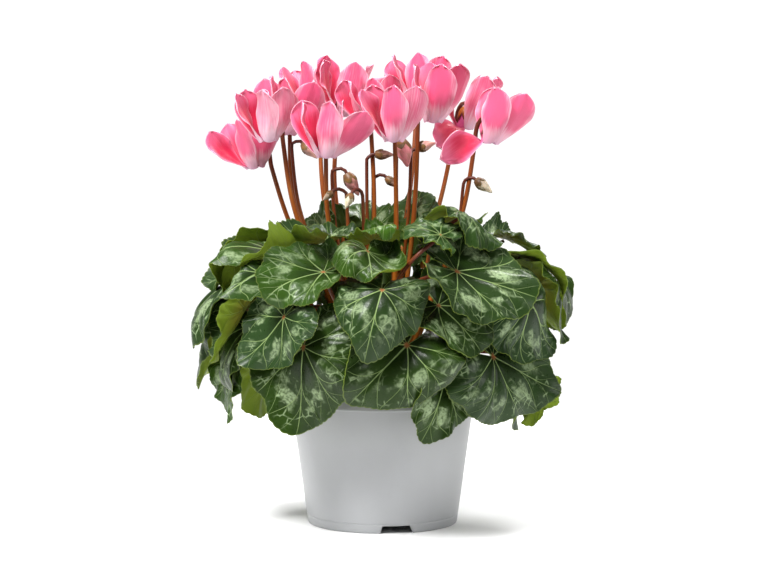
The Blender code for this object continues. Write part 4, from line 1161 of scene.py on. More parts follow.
# Flowers: place, lean, lean azimuth, stalk azimuth, spread, length
BLOOM_ROWS = (
    ((-80, -14, 224), 10, -70, 100, (24, 36, 50, 32, 22), 31),
    ((-70, -24, 240), 6, -40, 120, (26, 28, 32, 24, 26), 31),
    ((-60, -4, 245), 6, 60, 170, (30, 24, 22, 30, 26), 34),
    ((-45, 30, 261), 8, 200, 160, (26, 34, 28, 24, 22), 30),
    ((-26, 14, 258), 12, 60, 190, (30, 34, 30, 52, 28), 35),
    ((-34, -34, 230), 4, 40, 182, (24, 38, 22, 48, 20), 33),
    ((-6, 0, 249), 8, -60, 190, (26, 34, 26, 30, 24), 31),
    ((7, -28, 240), 5, 0, 176, (28, 32, 24, 26, 26), 33),
    ((32, -10, 253), 6, 20, -112, (26, 30, 24, 30, 32), 36),
    ((22, 32, 264), 8, 180, 180, (22, 26, 32, 28, 22), 32),
    ((53, 4, 250), 8, 60, -148, (30, 97, 24, 30, 30), 35),
    ((66, -18, 239), 6, 80, -120, (100, 30, 38, 26, 24), 33),
)

# Buds: place, azimuth, size, droop, pinkness, brownness
BUD_ROWS = (
    ((-57, 7, 239), 60, 14, 150, 0.6, 0.75),
    ((-22, -24, 209), -85, 8, 150, 0.1, 0.7),
    ((-12, -32, 209), -45, 10, 170, 0, 0.12),
    ((-32, 14, 222), 80, 16, 172, 0.85, 0.4),
    ((-10, 16, 231), 90, 12, 105, 0.5, 0.8),
    ((-6, 22, 218), 80, 10, 150, 0.2, 0.9),
    ((9, 10, 242), 20, 19, 170, 1.0, 0.0),
    ((18, 20, 235), 100, 13, 85, 0.55, 0.15),
    ((50, -12, 216), 70, 13, 145, 0.1, 0.08),
)


def back_leaves() -> list[Leaf]:
    """The leaves on the back, in rows, with small seeded differences."""
    draw = np.random.default_rng(BACK_SEED)
    leaves = []
    for rise, first, last, count, length in BACK_ROWS:
        for i in range(count):
            vary = draw.uniform(-1, 1, 8)
            leaves.append(
                Leaf(
                    azimuth=first + (last - first) * i / (count - 1) + 3 * vary[0],
                    rise=rise + 3 * vary[1],
                    length=length + 4 * vary[2],
                    heading=28 * vary[3],
                    pitch=24 + 9 * vary[4],
                    roll=20 * vary[5],
                    arch=36 + 10 * vary[6],
                    left=20 + 12 * vary[7],
                    right=20 - 12 * vary[7],
                    ripple=0.08,
                    phase=3 + 3 * vary[4],
                )
            )
    return leaves


class Sheet:
    """Triangulated sheets as one, with a tree for tests against others."""

    def __init__(self, *meshes: Mesh) -> None:
        """Joins meshes, each one its points and faces."""
        self.points = np.concatenate([points for points, faces in meshes])
        self.faces: list[tuple[int, ...]] = []
        first = 0
        for points, faces in meshes:
            self.faces += [tuple(first + i for i in face) for face in faces]
            first += len(points)
        self.low, self.high = self.points.min(0), self.points.max(0)
        self.tree = BVHTree.FromPolygons(self.points.tolist(), self.faces)

    def too_close(self, others: Sequence["Sheet"], room: float) -> bool:
        """True where it crosses another sheet, or comes nearer to it than room."""
        for other in others:
            if np.any(self.low - room > other.high) or np.any(other.low - room > self.high):
                continue
            if self.tree.overlap(other.tree):
                return True
            if nearest(other.tree, self.points) < room or nearest(self.tree, other.points) < room:
                return True
        return False


def merged(sheets: Sequence[Sheet]) -> BVHTree:
    """One tree over the triangles of several sheets."""
    return Sheet(*[(sheet.points, sheet.faces) for sheet in sheets]).tree


def nearest(tree: BVHTree, points: Array) -> float:
    """Least distance from the points to a tree of triangles."""
    return min(tree.find_nearest(point)[3] for point in points.tolist())


# Routes of the stalks


def bezier(p0: Array, p1: Array, p2: Array, p3: Array, count: int) -> Array:
    """Points on a cubic Bezier curve, evenly spaced in its parameter."""
    t = np.linspace(0, 1, count)[:, None]
    return (1 - t) ** 3 * p0 + 3 * (1 - t) ** 2 * t * p1 + 3 * (1 - t) * t**2 * p2 + t**3 * p3


def crown_point(azimuth: float, radius: float) -> Array:
    """Where a stalk leaves the tuber's top, a little inside it."""
    return direction(azimuth) * radius + UP * (TUBER_TOP - 4.5 - 0.03 * radius**2)


class Routes:
    """Finds ways for stalks through the blades and blooms.

    OFFSETS, EARLY, SLANTS and TURNS are what a leaf's stalk tries, in that order: how far it starts
    to one side, where it bends first, and how it comes in under the blade.
    """

    POINTS = 5
    TESTS = 97
    END_SHARE = 0.98
    OWN_REACH = 0.7
    OWN_SLOPE = 0.4
    SHIFT = 32
    SHIFT_STEP = 8
    MARGIN = 0.9
    OFFSETS = (0, 35, -35)
    EARLY = (0.42, 0.6, 0.25)
    SLANTS = (25, 50, 68)
    TURNS = (0, 40, -40, 80, -80, 120, -120, 180)

    def refined(self, path: Array) -> Array:
        """Evenly more points along a path's straight stretches."""
        stops = np.arange(len(path))
        places = np.linspace(0, len(path) - 1, self.TESTS)
        return np.stack([np.interp(places, stops, path[:, axis]) for axis in range(3)], axis=1)

    def free_room(self, path: Array, trees: Trees, enough: float = 0.0) -> float:
        """Least distance from a path to trees; stops early below enough.

        Args:
            path: corners of the path.
            trees: what it has to clear, each with the share of the path that has to.
            enough: a distance below which the search stops.

        Returns:
            The distance, in millimetres.
        """
        dense = self.refined(path)
        room = math.inf
        for tree, share in trees:
            room = min(room, nearest(tree, dense[: round(len(dense) * share)]))
            if room < enough:
                break
        return room

    def best(self, paths: Iterable[Array], trees: Trees, enough: float) -> Array:
        """The first of the paths with room enough, or else the one with the most.

        Args:
            paths: paths in the order of preference.
            trees: what they have to clear.
            enough: the distance that is wanted.

        Returns:
            The path.
        """
        found, most = np.zeros((0, 3)), -1.0
        for path in paths:
            room = self.free_room(path, trees, most)
            if room > most:
                found, most = path, room
            if room >= enough:
                break
        return found

    def own_room(self, path: Array, tree: BVHTree) -> float:
        """Least distance from a stalk to its own blade, which its last stretch may come nearer."""
        dense = self.refined(path)
        left = np.linalg.norm(dense - dense[-1], axis=1)
        rooms = np.array([tree.find_nearest(point)[3] for point in dense.tolist()])
        eased = np.maximum(0, STALK_ROOM - self.OWN_REACH - self.OWN_SLOPE * left)
        return float((rooms + eased).min())

    def leaf(self, leaf: Leaf, sheet: Sheet, others: Sequence[BVHTree]) -> tuple[Array, float]:
        """A leaf's stalk: out of the tuber, up inside the dome, and to the blade from below.

        Args:
            leaf: the leaf, in place.
            sheet: its blade.
            others: what the stalk has to clear.

        Returns:
            The route and its room.
        """
        fan = sheet.points[1 : TEST_SECTORS + 2] - sheet.points[0]
        below = -unit(np.cross(fan[:-1], fan[1:]).sum(0))
        start = crown_point(leaf.azimuth, 4 + 11 * math.cos(math.radians(max(leaf.rise, 0))))
        reach = float(np.linalg.norm(sheet.points[0] - start))
        back = unit(-leaf.axes[0] - (-leaf.axes[0] @ below) * below)
        aside = np.cross(below, back)
        best, most = np.zeros((0, 3)), -math.inf
        trees = [(tree, self.END_SHARE) for tree in others]
        for off, early in itertools.product(self.OFFSETS, self.EARLY):
            level = math.cos(math.radians(leaf.rise)) * 0.8
            middle = start + unit(direction(leaf.azimuth + off) * level + UP) * reach * early
            for slant, turn in itertools.product(self.SLANTS, self.TURNS):
                s, t = math.radians(slant), math.radians(turn)
                across = math.cos(t) * back + math.sin(t) * aside
                come = math.cos(s) * below + math.sin(s) * across
                stand = SOLID_BLADE / 2 + GAP + LEAF_STALKS.radius * math.sin(s)
                end = sheet.points[0] + below * stand
                path = bezier(start, middle, end + come * reach * 0.3, end, self.POINTS)
                room = min(self.own_room(path, sheet.tree), self.free_room(path, trees, most))
                if room > most:
                    best, most = path, room
                if room >= STALK_ROOM:
                    return best, most
        return best, most

    def upright(self, start: Array, end: Array, arrive: Array, bow: Array) -> Iterator[Array]:
        """Routes from the tuber up to a flower or bud: nearly straight first, then shifted more.

        Args:
            start: where it leaves the tuber.
            end: where it arrives.
            arrive: direction against which it arrives.
            bow: how far it bends to one side.

        Returns:
            The routes, one after another.
        """
        span = np.linalg.norm(end - start)
        steps = range(-self.SHIFT, self.SHIFT + 1, self.SHIFT_STEP)
        shifts = list(itertools.product(steps, steps))
        shifts.sort(key=lambda shift: math.hypot(1.4 * shift[0], shift[1]))
        for x, y in shifts:
            aside = bow + np.array([x, y, 0.0])
            early = start + (end - start) * 0.36 + aside
            late = end - arrive * 0.3 * span + 0.3 * aside
            yield bezier(start, early, late, end, self.POINTS)

    def flower(self, bloom: Bloom, trees: Trees) -> Array:
        """A flower's stalk from the tuber, past the mouth and over onto the tube.

        Args:
            bloom: the bloom, in place.
            trees: what the stalk has to clear.

        Returns:
            Corners of its path.
        """
        hook = bloom.hook()
        end = hook[0]
        azimuth = math.degrees(math.atan2(end[0], -end[1]))
        start = crown_point(azimuth, 5 + 0.08 * math.hypot(end[0], end[1]))
        bow = unit(np.array([end[0], 0.25 * end[1], 0.001])) * bloom.BOW
        routes = self.upright(start, end, bloom.axes[2], bow)
        path = self.best(routes, trees, FLOWER_STALKS.radius + self.MARGIN)
        return np.concatenate([path, hook[1:]])

    def bud(self, bud: Bud, trees: Trees) -> Array:
        """A bud's stalk with its hook, whose last stretch is the way in which the bud hangs.

        Args:
            bud: the bud.
            trees: what the stalk has to clear.

        Returns:
            Corners of its path.
        """
        toward = direction(bud.azimuth)
        turn = np.radians(np.linspace(0, bud.droop, 5))
        curve = (1 - np.cos(turn))[:, None] * toward + (np.sin(turn) - 1)[:, None] * UP
        hook = np.array(bud.place, float) + BUD_BEND * curve
        end = hook[0]
        azimuth = math.degrees(math.atan2(end[0], -end[1]))
        start = crown_point(azimuth + 15, 9)
        routes = self.upright(start, end, UP, np.array([0.05 * end[0], 0.0, 0.0]))
        path = self.best(routes, trees, BUD_STALKS.radius + self.MARGIN)
        return np.concatenate([path, hook[1:]])


class Layout:
    """Places the leaves, the blooms and their stalks in turn, so that they clear each other."""

    LEAST_CLEARANCE = 1.5
    LIFT_STEP = 1.0
    LIFT_LIMIT = 16
    BLOOM_CLEARANCE = 2.2
    BACK_STEP = 2.0
    BACK_LIMIT = 40

    def __init__(self, pot: BVHTree) -> None:
        """Arranges everything round the pot."""
        self.routes = Routes()
        self.place_leaves(pot)
        self.place_blooms()
        self.place_stalks()

    def place_leaves(self, pot: BVHTree) -> None:
        """The leaves from the innermost out, each settled on those below it, with its stalk."""
        self.leaves = back_leaves() + [Leaf(*row) for row in LEAF_ROWS]
        clouds, sheets, self.leaf_routes = [], [], []
        for leaf in self.leaves:
            leaf.set_frame()
            if clouds:
                leaf.settle(np.concatenate(clouds))
            below = [merged(sheets), pot] if sheets else [pot]
            for _ in range(self.LIFT_LIMIT):
                grids = ((TEST_RINGS, TEST_SECTORS), (BLADE_RINGS, BLADE_SECTORS))
                sheet = Sheet(*[leaf.mesh(*grid) for grid in grids])
                if not sheet.too_close(sheets, self.LEAST_CLEARANCE):
                    route, room = self.routes.leaf(leaf, sheet, below)
                    if room >= STALK_ROOM:
                        break
                leaf.lift[0] += self.LIFT_STEP
            clouds.append(sheet.points)
            sheets.append(sheet)
            self.leaf_routes.append(route)
        for i, leaf in enumerate(self.leaves):
            others = [merged(sheets[:i] + sheets[i + 1 :]), pot]
            trees = [(tree, self.routes.END_SHARE) for tree in others]
            if self.routes.free_room(self.leaf_routes[i], trees) < STALK_ROOM:
                self.leaf_routes[i] = self.routes.leaf(leaf, sheets[i], others)[0]
        self.foliage = merged(sheets)

    def place_blooms(self) -> None:
        """The blooms from the front to the back, each moved back until it clears those before."""
        self.blooms = sorted((Bloom(*row) for row in BLOOM_ROWS), key=lambda bloom: bloom.place[1])
        self.buds = [Bud(*row) for row in BUD_ROWS]
        self.petals, self.hooked = [], []
        for bloom in self.blooms:
            bloom.set_frame()
            for _ in range(self.BACK_LIMIT):
                meshes = [bloom.mesh(columns) for columns in (4, 2)]
                sheet = Sheet(*meshes, bloom.hook_ribbon())
                if not sheet.too_close(self.hooked, self.BLOOM_CLEARANCE):
                    break
                bloom.mouth = bloom.mouth + np.array([0.0, self.BACK_STEP, 0.0])
            self.petals.append(Sheet(*meshes))
            self.hooked.append(sheet)

    def place_stalks(self) -> None:
        """The stalks of the blooms and of the buds."""
        self.flower_routes = []
        for i, bloom in enumerate(self.blooms):
            others = merged(self.petals[:i] + self.petals[i + 1 :])
            trees = [(self.foliage, 1), (others, 1), (self.petals[i].tree, self.routes.END_SHARE)]
            self.flower_routes.append(self.routes.flower(bloom, trees))
        trees = [(self.foliage, 1), (merged(self.hooked), 1)]
        self.bud_routes = [self.routes.bud(bud, trees) for bud in self.buds]


# Foliage


@dataclass
class Foliage:
    """The blades, each a closed thin sheet with scalloped margin, sunk veins and a frilled edge."""

    layout: Layout
    rings: int = 10
    sectors: int = 264
    thickness: float = 0.5
    margin_thickness: float = 0.3
    vein_step: float = math.radians(41)
    teeth: float = 66.0
    tooth_depth: float = 0.6
    lobes: tuple[float, float] = (0.028, 0.016)
    swell: float = 1.0
    swell_reach: float = 2.4
    frill: tuple[float, float] = (1.7, 1.0)
    hollow: float = 2.0
    saddle: float = 2.3
    seed: int = 5

    def build(self) -> None:
        """Makes every blade a piece with the marbled finish."""
        finish = LeafFinish().material()
        draw = np.random.default_rng(self.seed)
        for i, leaf in enumerate(self.layout.leaves):
            name = f"leaf_{i + 1:02d}"
            shape = self.blade(leaf, draw.uniform(-1, 1, 12))
            make_piece(f"{name}_blade", shape, finish, Slot.LEAF, [name], sharp=70)

    def relief(self, rho: Array, angle: Array, across: Array, span: Array, vary: Array) -> Array:
        """Height over the smooth blade.

        The field between two veins swells by 1 - e^-(d/2.4)^2, d being how far the nearest one is.
        The margin is frilled by two quick sines, and slow ones hollow and saddle the blade.

        Args:
            rho: share of the way from the stalk to the margin.
            angle: angle from the midrib, in radians.
            across: place across the vein pattern.
            span: millimetres per step of the pattern.
            vary: seeded numbers from -1 to 1.

        Returns:
            The height, in millimetres.
        """
        aside = np.abs(across - np.round(across))
        branch = 0.5 * smoothstep(rho, 0.40, 1.02)
        to_vein = np.minimum(aside, np.where(rho > 0.4, np.abs(aside - branch), 1.0)) * span
        swell = self.swell * (1 - np.exp(-((to_vein / self.swell_reach) ** 2)))
        swell = swell * smoothstep(rho, 0.05, 0.3) * smoothstep(1.02 - rho, 0.0, 0.2)
        coarse = self.frill[0] * np.sin(9.3 * angle + 9 * vary[0])
        fine = self.frill[1] * np.sin(17.1 * angle + 9 * vary[1])
        hollow = self.hollow * np.sin(5.3 * rho + 2.2 * angle + 5 * vary[2]) * (1 - 0.5 * rho)
        saddle = self.saddle * np.sin(2.0 * angle + 5 * vary[3])
        return swell + rho**5 * (coarse + fine) + rho**2 * (hollow + saddle)

    def blade(self, leaf: Leaf, vary: Array) -> Shape:
        """One blade on a grid of rings and spokes.

        The rings crowd towards the margin. The margin is scalloped by |sin| of the angle, and its
        teeth fade within the last tenth of the way. The place across the vein pattern is the angle
        over the step between main veins, bent by slow sines.

        Args:
            leaf: the leaf, in place.
            vary: twelve seeded numbers from -1 to 1.

        Returns:
            The closed sheet with its values.
        """
        share = (np.arange(self.rings) + 1) / self.rings
        rings = np.concatenate([[0.018, 0.05], 0.10 + 0.90 * share**0.85])
        angles = np.linspace(-SINUS_ANGLE, SINUS_ANGLE, self.sectors + 1)
        rho, angle = np.meshgrid(rings, angles, indexing="ij")
        tooth = np.abs(np.sin(math.pi * self.teeth * (angle / (2 * SINUS_ANGLE) + 0.5))) - 0.6
        tooth = self.tooth_depth / leaf.length * tooth * smoothstep(rho, 0.90, 1.0)
        lobe = self.lobes[0] * np.sin(6.2 * angle + 6 * vary[4])
        lobe = lobe + self.lobes[1] * np.sin(11 * angle + 6 * vary[5])
        grown = rho * (1 + tooth + lobe * smoothstep(rho, 0.5, 1.0))
        bent = 0.10 * np.sin(2.6 * angle + 4 * vary[6])
        bent = bent + 0.16 * rho * np.sin(3.1 * angle + 3 * rho + 4 * vary[7])
        across = angle / self.vein_step + bent * smoothstep(np.abs(angle), 0.0, 0.5)
        out = rho * (1 + 0.05 * np.sin(4.2 * angle + 5 * vary[8]) * (1 - rho))
        span = self.vein_step * leaf.length * rho * outline(angle)
        wave = self.relief(rho, angle, across, span, vary)
        points = leaf.surface(grown, angle, wave)
        flat = leaf.length * grown * outline(angle)
        seed = np.full_like(flat, 100 * vary[9])
        grain = np.stack([flat * np.cos(angle), flat * np.sin(angle), seed], axis=-1)
        centre = leaf.surface(np.zeros(1), np.zeros(1), np.zeros(1))
        columns = self.sectors + 1
        faces = grid_faces(len(rings), columns)[:, ::-1] + 1
        turn = np.arange(self.sectors)
        fan = np.stack([0 * turn, turn + 1, turn + 2], axis=1)
        vein = np.stack([across, out, span], axis=-1)
        values = {
            "vein": np.concatenate([[[0.0, 0.0, 0.01]], vein.reshape(-1, 3)]),
            "grain": np.concatenate([[[0.0, 0.0, 100 * vary[9]]], grain.reshape(-1, 3)]),
        }
        every = np.concatenate([centre, points.reshape(-1, 3)])
        sheet = Shape(every, np.concatenate([faces, as_quads(fan)]), values)
        youth = np.clip(1.15 - leaf.length / 34 + 0.25 * vary[10], 0.0, 0.85)
        blue = np.clip(0.3 + 0.5 * vary[0], 0, 0.7)
        sheet.with_constant("dress", youth, 0.75 + 0.2 * vary[11], blue)
        thinner = (self.margin_thickness - self.thickness) * smoothstep(rho, 0.7, 1.0)
        thickness = self.thickness + thinner.ravel()
        return thick_sheet(sheet, np.concatenate([[self.thickness], thickness]))


@dataclass
class InnerLeaves:
    """Small upright leaves among the stalks at the back, with painted shade: dark green undersides
    and the darkest, least silvered faces.

    Each row gives the radius and level of its roots, their count and the blades' length. They ride
    on the leaves whose roots lie behind and above two bounds.
    """

    foliage: Foliage
    rows: tuple[tuple[float, float, int, float], ...] = (
        (33.0, 178.0, 5, 27.0),
        (37.0, 150.0, 6, 32.0),
    )
    behind: float = 20.0
    above: float = 150.0
    first: float = 92.0
    last: float = 268.0
    seed: int = 12

    def build(self) -> None:
        """Makes the piece."""
        draw = np.random.default_rng(self.seed)
        shapes = []
        for radius, level, count, length in self.rows:
            for azimuth in np.linspace(self.first, self.last, count):
                vary = draw.uniform(-1, 1, 14)
                leaf = Leaf(
                    azimuth=azimuth + 6 * vary[12],
                    rise=8,
                    length=length + 3 * vary[13],
                    heading=30 * vary[11],
                    pitch=8 * vary[10],
                    roll=12 * vary[9],
                    arch=30,
                )
                leaf.set_frame()
                leaf.root = radius * direction(leaf.azimuth) + (level + 5 * vary[8]) * UP
                # painted shade: every blade gets the darkest, least silvered dress
                shapes.append(self.foliage.blade(leaf, vary).with_constant("dress", 0.0, 0.3, 0.3))
        nodes = [
            f"leaf_{i + 1:02d}"
            for i, leaf in enumerate(self.foliage.layout.leaves)
            if leaf.root[1] > self.behind and leaf.root[2] > self.above
        ]
        # painted shade: the undersides are dark green instead of the leaves' bright yellow green
        finish = LeafFinish(
            "leaf_with_painted_shade", under=(0.030, 0.055, 0.008), under_red=(0.045, 0.045, 0.010)
        )
        leaves = Shape.joined(shapes)
        make_piece("inner_leaves", leaves, finish.material(), Slot.LEAF, nodes, sharp=70)


# Blooms


@dataclass
class Blooms:
    """The flowers: tube, mouth and five cupped and twisted petals in one closed thin sheet each."""

    layout: Layout
    columns: int = 14
    rows: int = 26
    thickness: float = 0.38
    tube_profile: Profile = (
        (1.4, 8.45),
        (2.8, 8.2),
        (3.6, 7.6),
        (3.9, 6.6),
        (4.0, 4.6),
        (4.2, 2.4),
        (4.5, 0.8),
        (5.0, -0.6),
    )
    depths: tuple[float, ...] = (0.65, 0.6, 0.25, 0.85, 0.95, 0.65, 0.6, 0.75, 0.7, 0.3, 0.85, 0.65)
    ruffles: tuple[float, ...] = (0.3, 0.3, 0.2, 0.3, 0.1, 0.3, 0.2, 0.4, 0.8, 0.9, 0.2, 0.4)
    seed: int = 8

    def build(self) -> None:
        """Makes every bloom a piece with the streaked finish."""
        finish = PetalFinish().material()
        draw = np.random.default_rng(self.seed)
        for i, bloom in enumerate(self.layout.blooms):
            name = f"bloom_{i + 1:02d}"
            shape = self.flower(i, bloom, draw.uniform(-1, 1, (PETALS, 4)))
            make_piece(f"{name}_petals", shape, finish, Slot.PETAL, [name], sharp=70)

    def tube(self, bloom: Bloom) -> tuple[Array, Array]:
        """Rings of the tube from its closed end to the fold, and their place before the petals.

        Args:
            bloom: the bloom, in place.

        Returns:
            The rings' points, and a place for each ring, below 0.
        """
        profile = np.array([*self.tube_profile, (FOLD_RADIUS, -FOLD_DROP)])
        around = self.columns * PETALS
        angles = circle(around)
        ribs = 1 + 0.03 * np.cos(5 * angles) * smoothstep(-profile[:, 1:], -7.0, 0.0)
        across = (np.arange(around) % self.columns) / self.columns * 2 - 1
        near_fold = np.linspace(-2, 1, len(profile)).clip(0, 1)[:, None]
        sunk = (fold_level(across) + FOLD_DROP) * near_fold
        points = bloom.point(profile[:, :1] * ribs, angles, profile[:, 1:] + sunk)
        return points, np.linspace(-1.0, 0.0, len(profile))

    def waves(self, ruffle: float, share: Array, along: Array, vary: Array) -> Array:
        """Height over a petal's smooth surface: waves of its edges and of the whole, and pleats.

        Each is a sine that starts some way along the petal.

        Args:
            ruffle: height of the short waves of the edges.
            share: place across the petal, from -1 to 1.
            along: from the fold, 0, to the tip, 1.
            vary: seeded numbers from -1 to 1.

        Returns:
            The height, in millimetres.
        """
        a, b, c = vary[:3]
        edge = 1.3 * np.abs(share) ** 3 * np.sin(10 * along + 3 * share + 6 * a)
        whole = 0.8 * np.sin(5 * along + 6 * b)
        short = ruffle * share**4 * np.sin(24 * along + 4 * share + 9 * c)
        pleats = 0.35 * np.cos(7.5 * share + 3 * c) * (1 - 0.6 * along)
        return (
            edge * smoothstep(along, 0.25, 0.7)
            + whole * smoothstep(along, 0.1, 0.5)
            + short * smoothstep(along, 0.35, 0.8)
            + pleats * smoothstep(along, 0.05, 0.4)
        )

    def flower(self, index: int, bloom: Bloom, vary: Array) -> Shape:
        """One flower as rings of the tube and, from the fold on, a grid for each petal.

        A petal's rows crowd towards its round tip as the sine of a quarter turn.

        Args:
            index: which bloom.
            bloom: the bloom, in place.
            vary: four seeded numbers for each petal.

        Returns:
            The closed sheet with its values.
        """
        depth = self.depths[index]
        around, columns = self.columns * PETALS, self.columns + 1
        tube, place = self.tube(bloom)
        rings = len(place)
        apex = bloom.point(0.0, 0.0, TUBE_HEIGHT + 0.5).reshape(1, 3)
        points = [apex, tube.reshape(-1, 3)]
        turn = np.arange(around)
        fan = np.stack([0 * turn, 1 + turn, 1 + (turn + 1) % around], axis=1)
        faces = [grid_faces(rings, around, closed=True)[:, ::-1] + 1, as_quads(fan)]
        before = np.stack([0 * place, place, 0 * place], axis=1)
        petal = [np.array([[0.0, -1.0, 0.0]]), np.repeat(before, around, axis=0)]
        dress = [np.tile([depth, 0.0, 0.0], (1 + rings * around, 1))]
        fold = 1 + (rings - 1) * around
        steps = np.sin(np.linspace(0, math.pi / 2, self.rows + 1))[1:] * 0.996
        share, along = np.meshgrid(np.linspace(-1, 1, columns), steps)
        grid = np.arange(share.size).reshape(share.shape)
        for k in range(PETALS):
            wave = self.waves(self.ruffles[index], share, along, vary[k])
            first = sum(len(p) for p in points)
            points.append(bloom.petal_points(k, share, along, wave).reshape(-1, 3))
            start = fold + (self.columns * k + np.arange(columns)) % around
            rows = np.concatenate([start[None], first + grid])
            corners = (rows[1:, :-1], rows[1:, 1:], rows[:-1, 1:], rows[:-1, :-1])
            faces.append(np.stack(corners, axis=-1).reshape(-1, 4))
            width = share * bloom.petal_width(along)
            petal.append(np.stack([width, along, share], axis=-1).reshape(-1, 3))
            deeper = np.clip(depth + 0.3 * vary[k, 2], 0, 1)
            dress.append(np.tile([deeper, 40 * vary[k, 3], 0.0], (grid.size, 1)))
        values = {"petal": np.concatenate(petal), "dress": np.concatenate(dress)}
        sheet = Shape(np.concatenate(points), np.concatenate(faces), values)
        return thick_sheet(sheet, np.full(len(sheet.points), self.thickness))


# Stalks, calyces and buds

SPINDLE_RINGS = 26
SEPAL_SIDES = 40
SEPAL_ROWS = 9
SEPAL_THICKNESS = 0.35


def smooth_path(path: Array, count: int) -> Array:
    """Points on a Catmull-Rom curve through the corners of a path.

    Each stretch is a cubic whose ends point along the chord between the corners on either side.

    Args:
        path: the corners.
        count: how many points to make.

    Returns:
        The points, evenly spaced in the curve's parameter.
    """
    ends = np.concatenate([2 * path[:1] - path[1:2], path, 2 * path[-1:] - path[-2:-1]])
    place = np.linspace(0, len(path) - 1, count)
    stretch = np.minimum(place.astype(int), len(path) - 2)
    t = (place - stretch)[:, None]
    p0, p1, p2, p3 = (ends[stretch + i] for i in range(4))
    square = 2 * p0 - 5 * p1 + 4 * p2 - p3
    cube = 3 * p1 - p0 - 3 * p2 + p3
    return 0.5 * (2 * p1 + (p2 - p0) * t + square * t**2 + cube * t**3)


def even_path(path: Array, count: int) -> Array:
    """The same curve with its points evenly spaced in length."""
    length = np.concatenate([[0.0], np.cumsum(np.linalg.norm(np.diff(path, axis=0), axis=1))])
    places = np.linspace(0, length[-1], count)
    return np.stack([np.interp(places, length, path[:, axis]) for axis in range(3)], axis=1)


def stem_shape(
    path: Array, radius: Array, sides: int, aside: Array, shade: float, seed: float
) -> Shape:
    """A round stalk: a circle carried along a path, closed by a point at each end.

    Its frame is the path's direction, and the two directions square to it nearest to a fixed one.

    Args:
        path: evenly spaced points.
        radius: radius at each point.
        sides: points round it.
        aside: a direction that the path never takes.
        shade: how dark it is.
        seed: start of its streaks.

    Returns:
        The closed tube with its values.
    """
    along = unit(np.gradient(path, axis=0))
    first = unit(np.cross(along, aside))
    second = np.cross(along, first)
    angle = circle(sides)
    ring = spokes(angle, first[:, None], second[:, None])
    points = path[:, None] + ring * radius[:, None, None]
    share = np.linspace(0, 1, len(path))
    run = share * np.linalg.norm(np.diff(path, axis=0), axis=1).sum()
    stem = np.stack(np.broadcast_arrays(angle, share[:, None], run[:, None]), axis=-1)
    ends = [[0.0, 0.0, 0.0], [0.0, 1.0, run[-1]]]
    values = {"stem": np.concatenate([stem.reshape(-1, 3), ends])}
    every = np.concatenate([points.reshape(-1, 3), path[:1], path[-1:]])
    shape = Shape(every, capped_faces(len(path), sides), values)
    return shape.with_constant("dress", shade, seed, 0.0)


@dataclass
class Stalks:
    """The stalks of the leaves, of the flowers with their hooks, and of the buds, a piece each."""

    layout: Layout

    def build(self, finish: Material) -> None:
        """Makes the three pieces, each stalk with a direction that its path never takes."""
        leaves = self.layout.leaf_routes
        asides = [unit(np.cross(UP, route[-1] - route[0])) for route in leaves]
        self.piece(LEAF_STALKS, leaves, asides, finish)
        asides = [bloom.axes[1] for bloom in self.layout.blooms]
        self.piece(FLOWER_STALKS, self.layout.flower_routes, asides, finish)
        asides = [np.cross(UP, direction(bud.azimuth)) for bud in self.layout.buds]
        self.piece(BUD_STALKS, self.layout.bud_routes, asides, finish)

    def piece(
        self,
        kind: StalkKind,
        routes: Sequence[Array],
        asides: Sequence[Array],
        finish: Material,
    ) -> None:
        """Makes the stalks of one kind, with seeded darkness and streaks.

        Args:
            kind: their sizes.
            routes: the corners of their paths.
            asides: a direction for each that its path never takes.
            finish: their material.
        """
        draw = np.random.default_rng(kind.seed)
        stems = []
        for route, aside in zip(routes, asides):
            path = even_path(smooth_path(route, kind.dense * kind.points), kind.points)
            radius = kind.radius * np.linspace(*kind.taper, kind.points)
            shade, seed = draw.uniform(*kind.shade), draw.uniform(0, 50)
            stems.append(stem_shape(path, radius, kind.sides, aside, shade, seed))
        make_piece(kind.name, Shape.joined(stems), finish, Slot.STALK, [STALK_NODE])


def spindle(
    base: Array,
    axis: Array,
    length: float,
    profile: Sequence[float],
    twist: float,
    folds: float,
    sides: int,
) -> Shape:
    """A body of five spiral folds along an axis, closed at both ends.

    Its radius at a share s and an angle a is r(s) (1 + f (|cos 2.5 (a + t s)| - 1/2)).

    Args:
        base: where it starts.
        axis: unit direction in which it grows.
        length: its length.
        profile: radii at even shares of the length.
        twist: how far the folds turn, in radians.
        folds: their depth over the radius.
        sides: points round it.

    Returns:
        The closed body, with the value "stem" of angle, share and turned angle.
    """
    share = 0.5 - 0.5 * np.cos(np.linspace(0.12, math.pi - 0.05, SPINDLE_RINGS))
    radius = np.interp(share, np.linspace(0, 1, len(profile)), profile)
    radius = radius * np.sqrt(np.clip(np.minimum(share / 0.06, (1 - share) / 0.05), 0, 1))
    angle = circle(sides)
    turned = angle + twist * share[:, None]
    raised = np.abs(np.cos(2.5 * turned)) - 0.5
    ridge = 1 + folds * raised * smoothstep(share, 0.1, 0.4)[:, None]
    ring = spokes(angle, *square_axes(axis))
    middle = base + share[:, None, None] * length * axis
    points = middle + ring * (radius[:, None] * ridge)[..., None]
    stem = np.stack(np.broadcast_arrays(angle, share[:, None], turned), axis=-1).reshape(-1, 3)
    values = {"stem": np.concatenate([stem, [[0.0, 0.0, 0.0], [0.0, 1.0, 0.0]]])}
    every = np.concatenate([points.reshape(-1, 3), middle[0], middle[-1]])
    return Shape(every, capped_faces(SPINDLE_RINGS, sides), values)


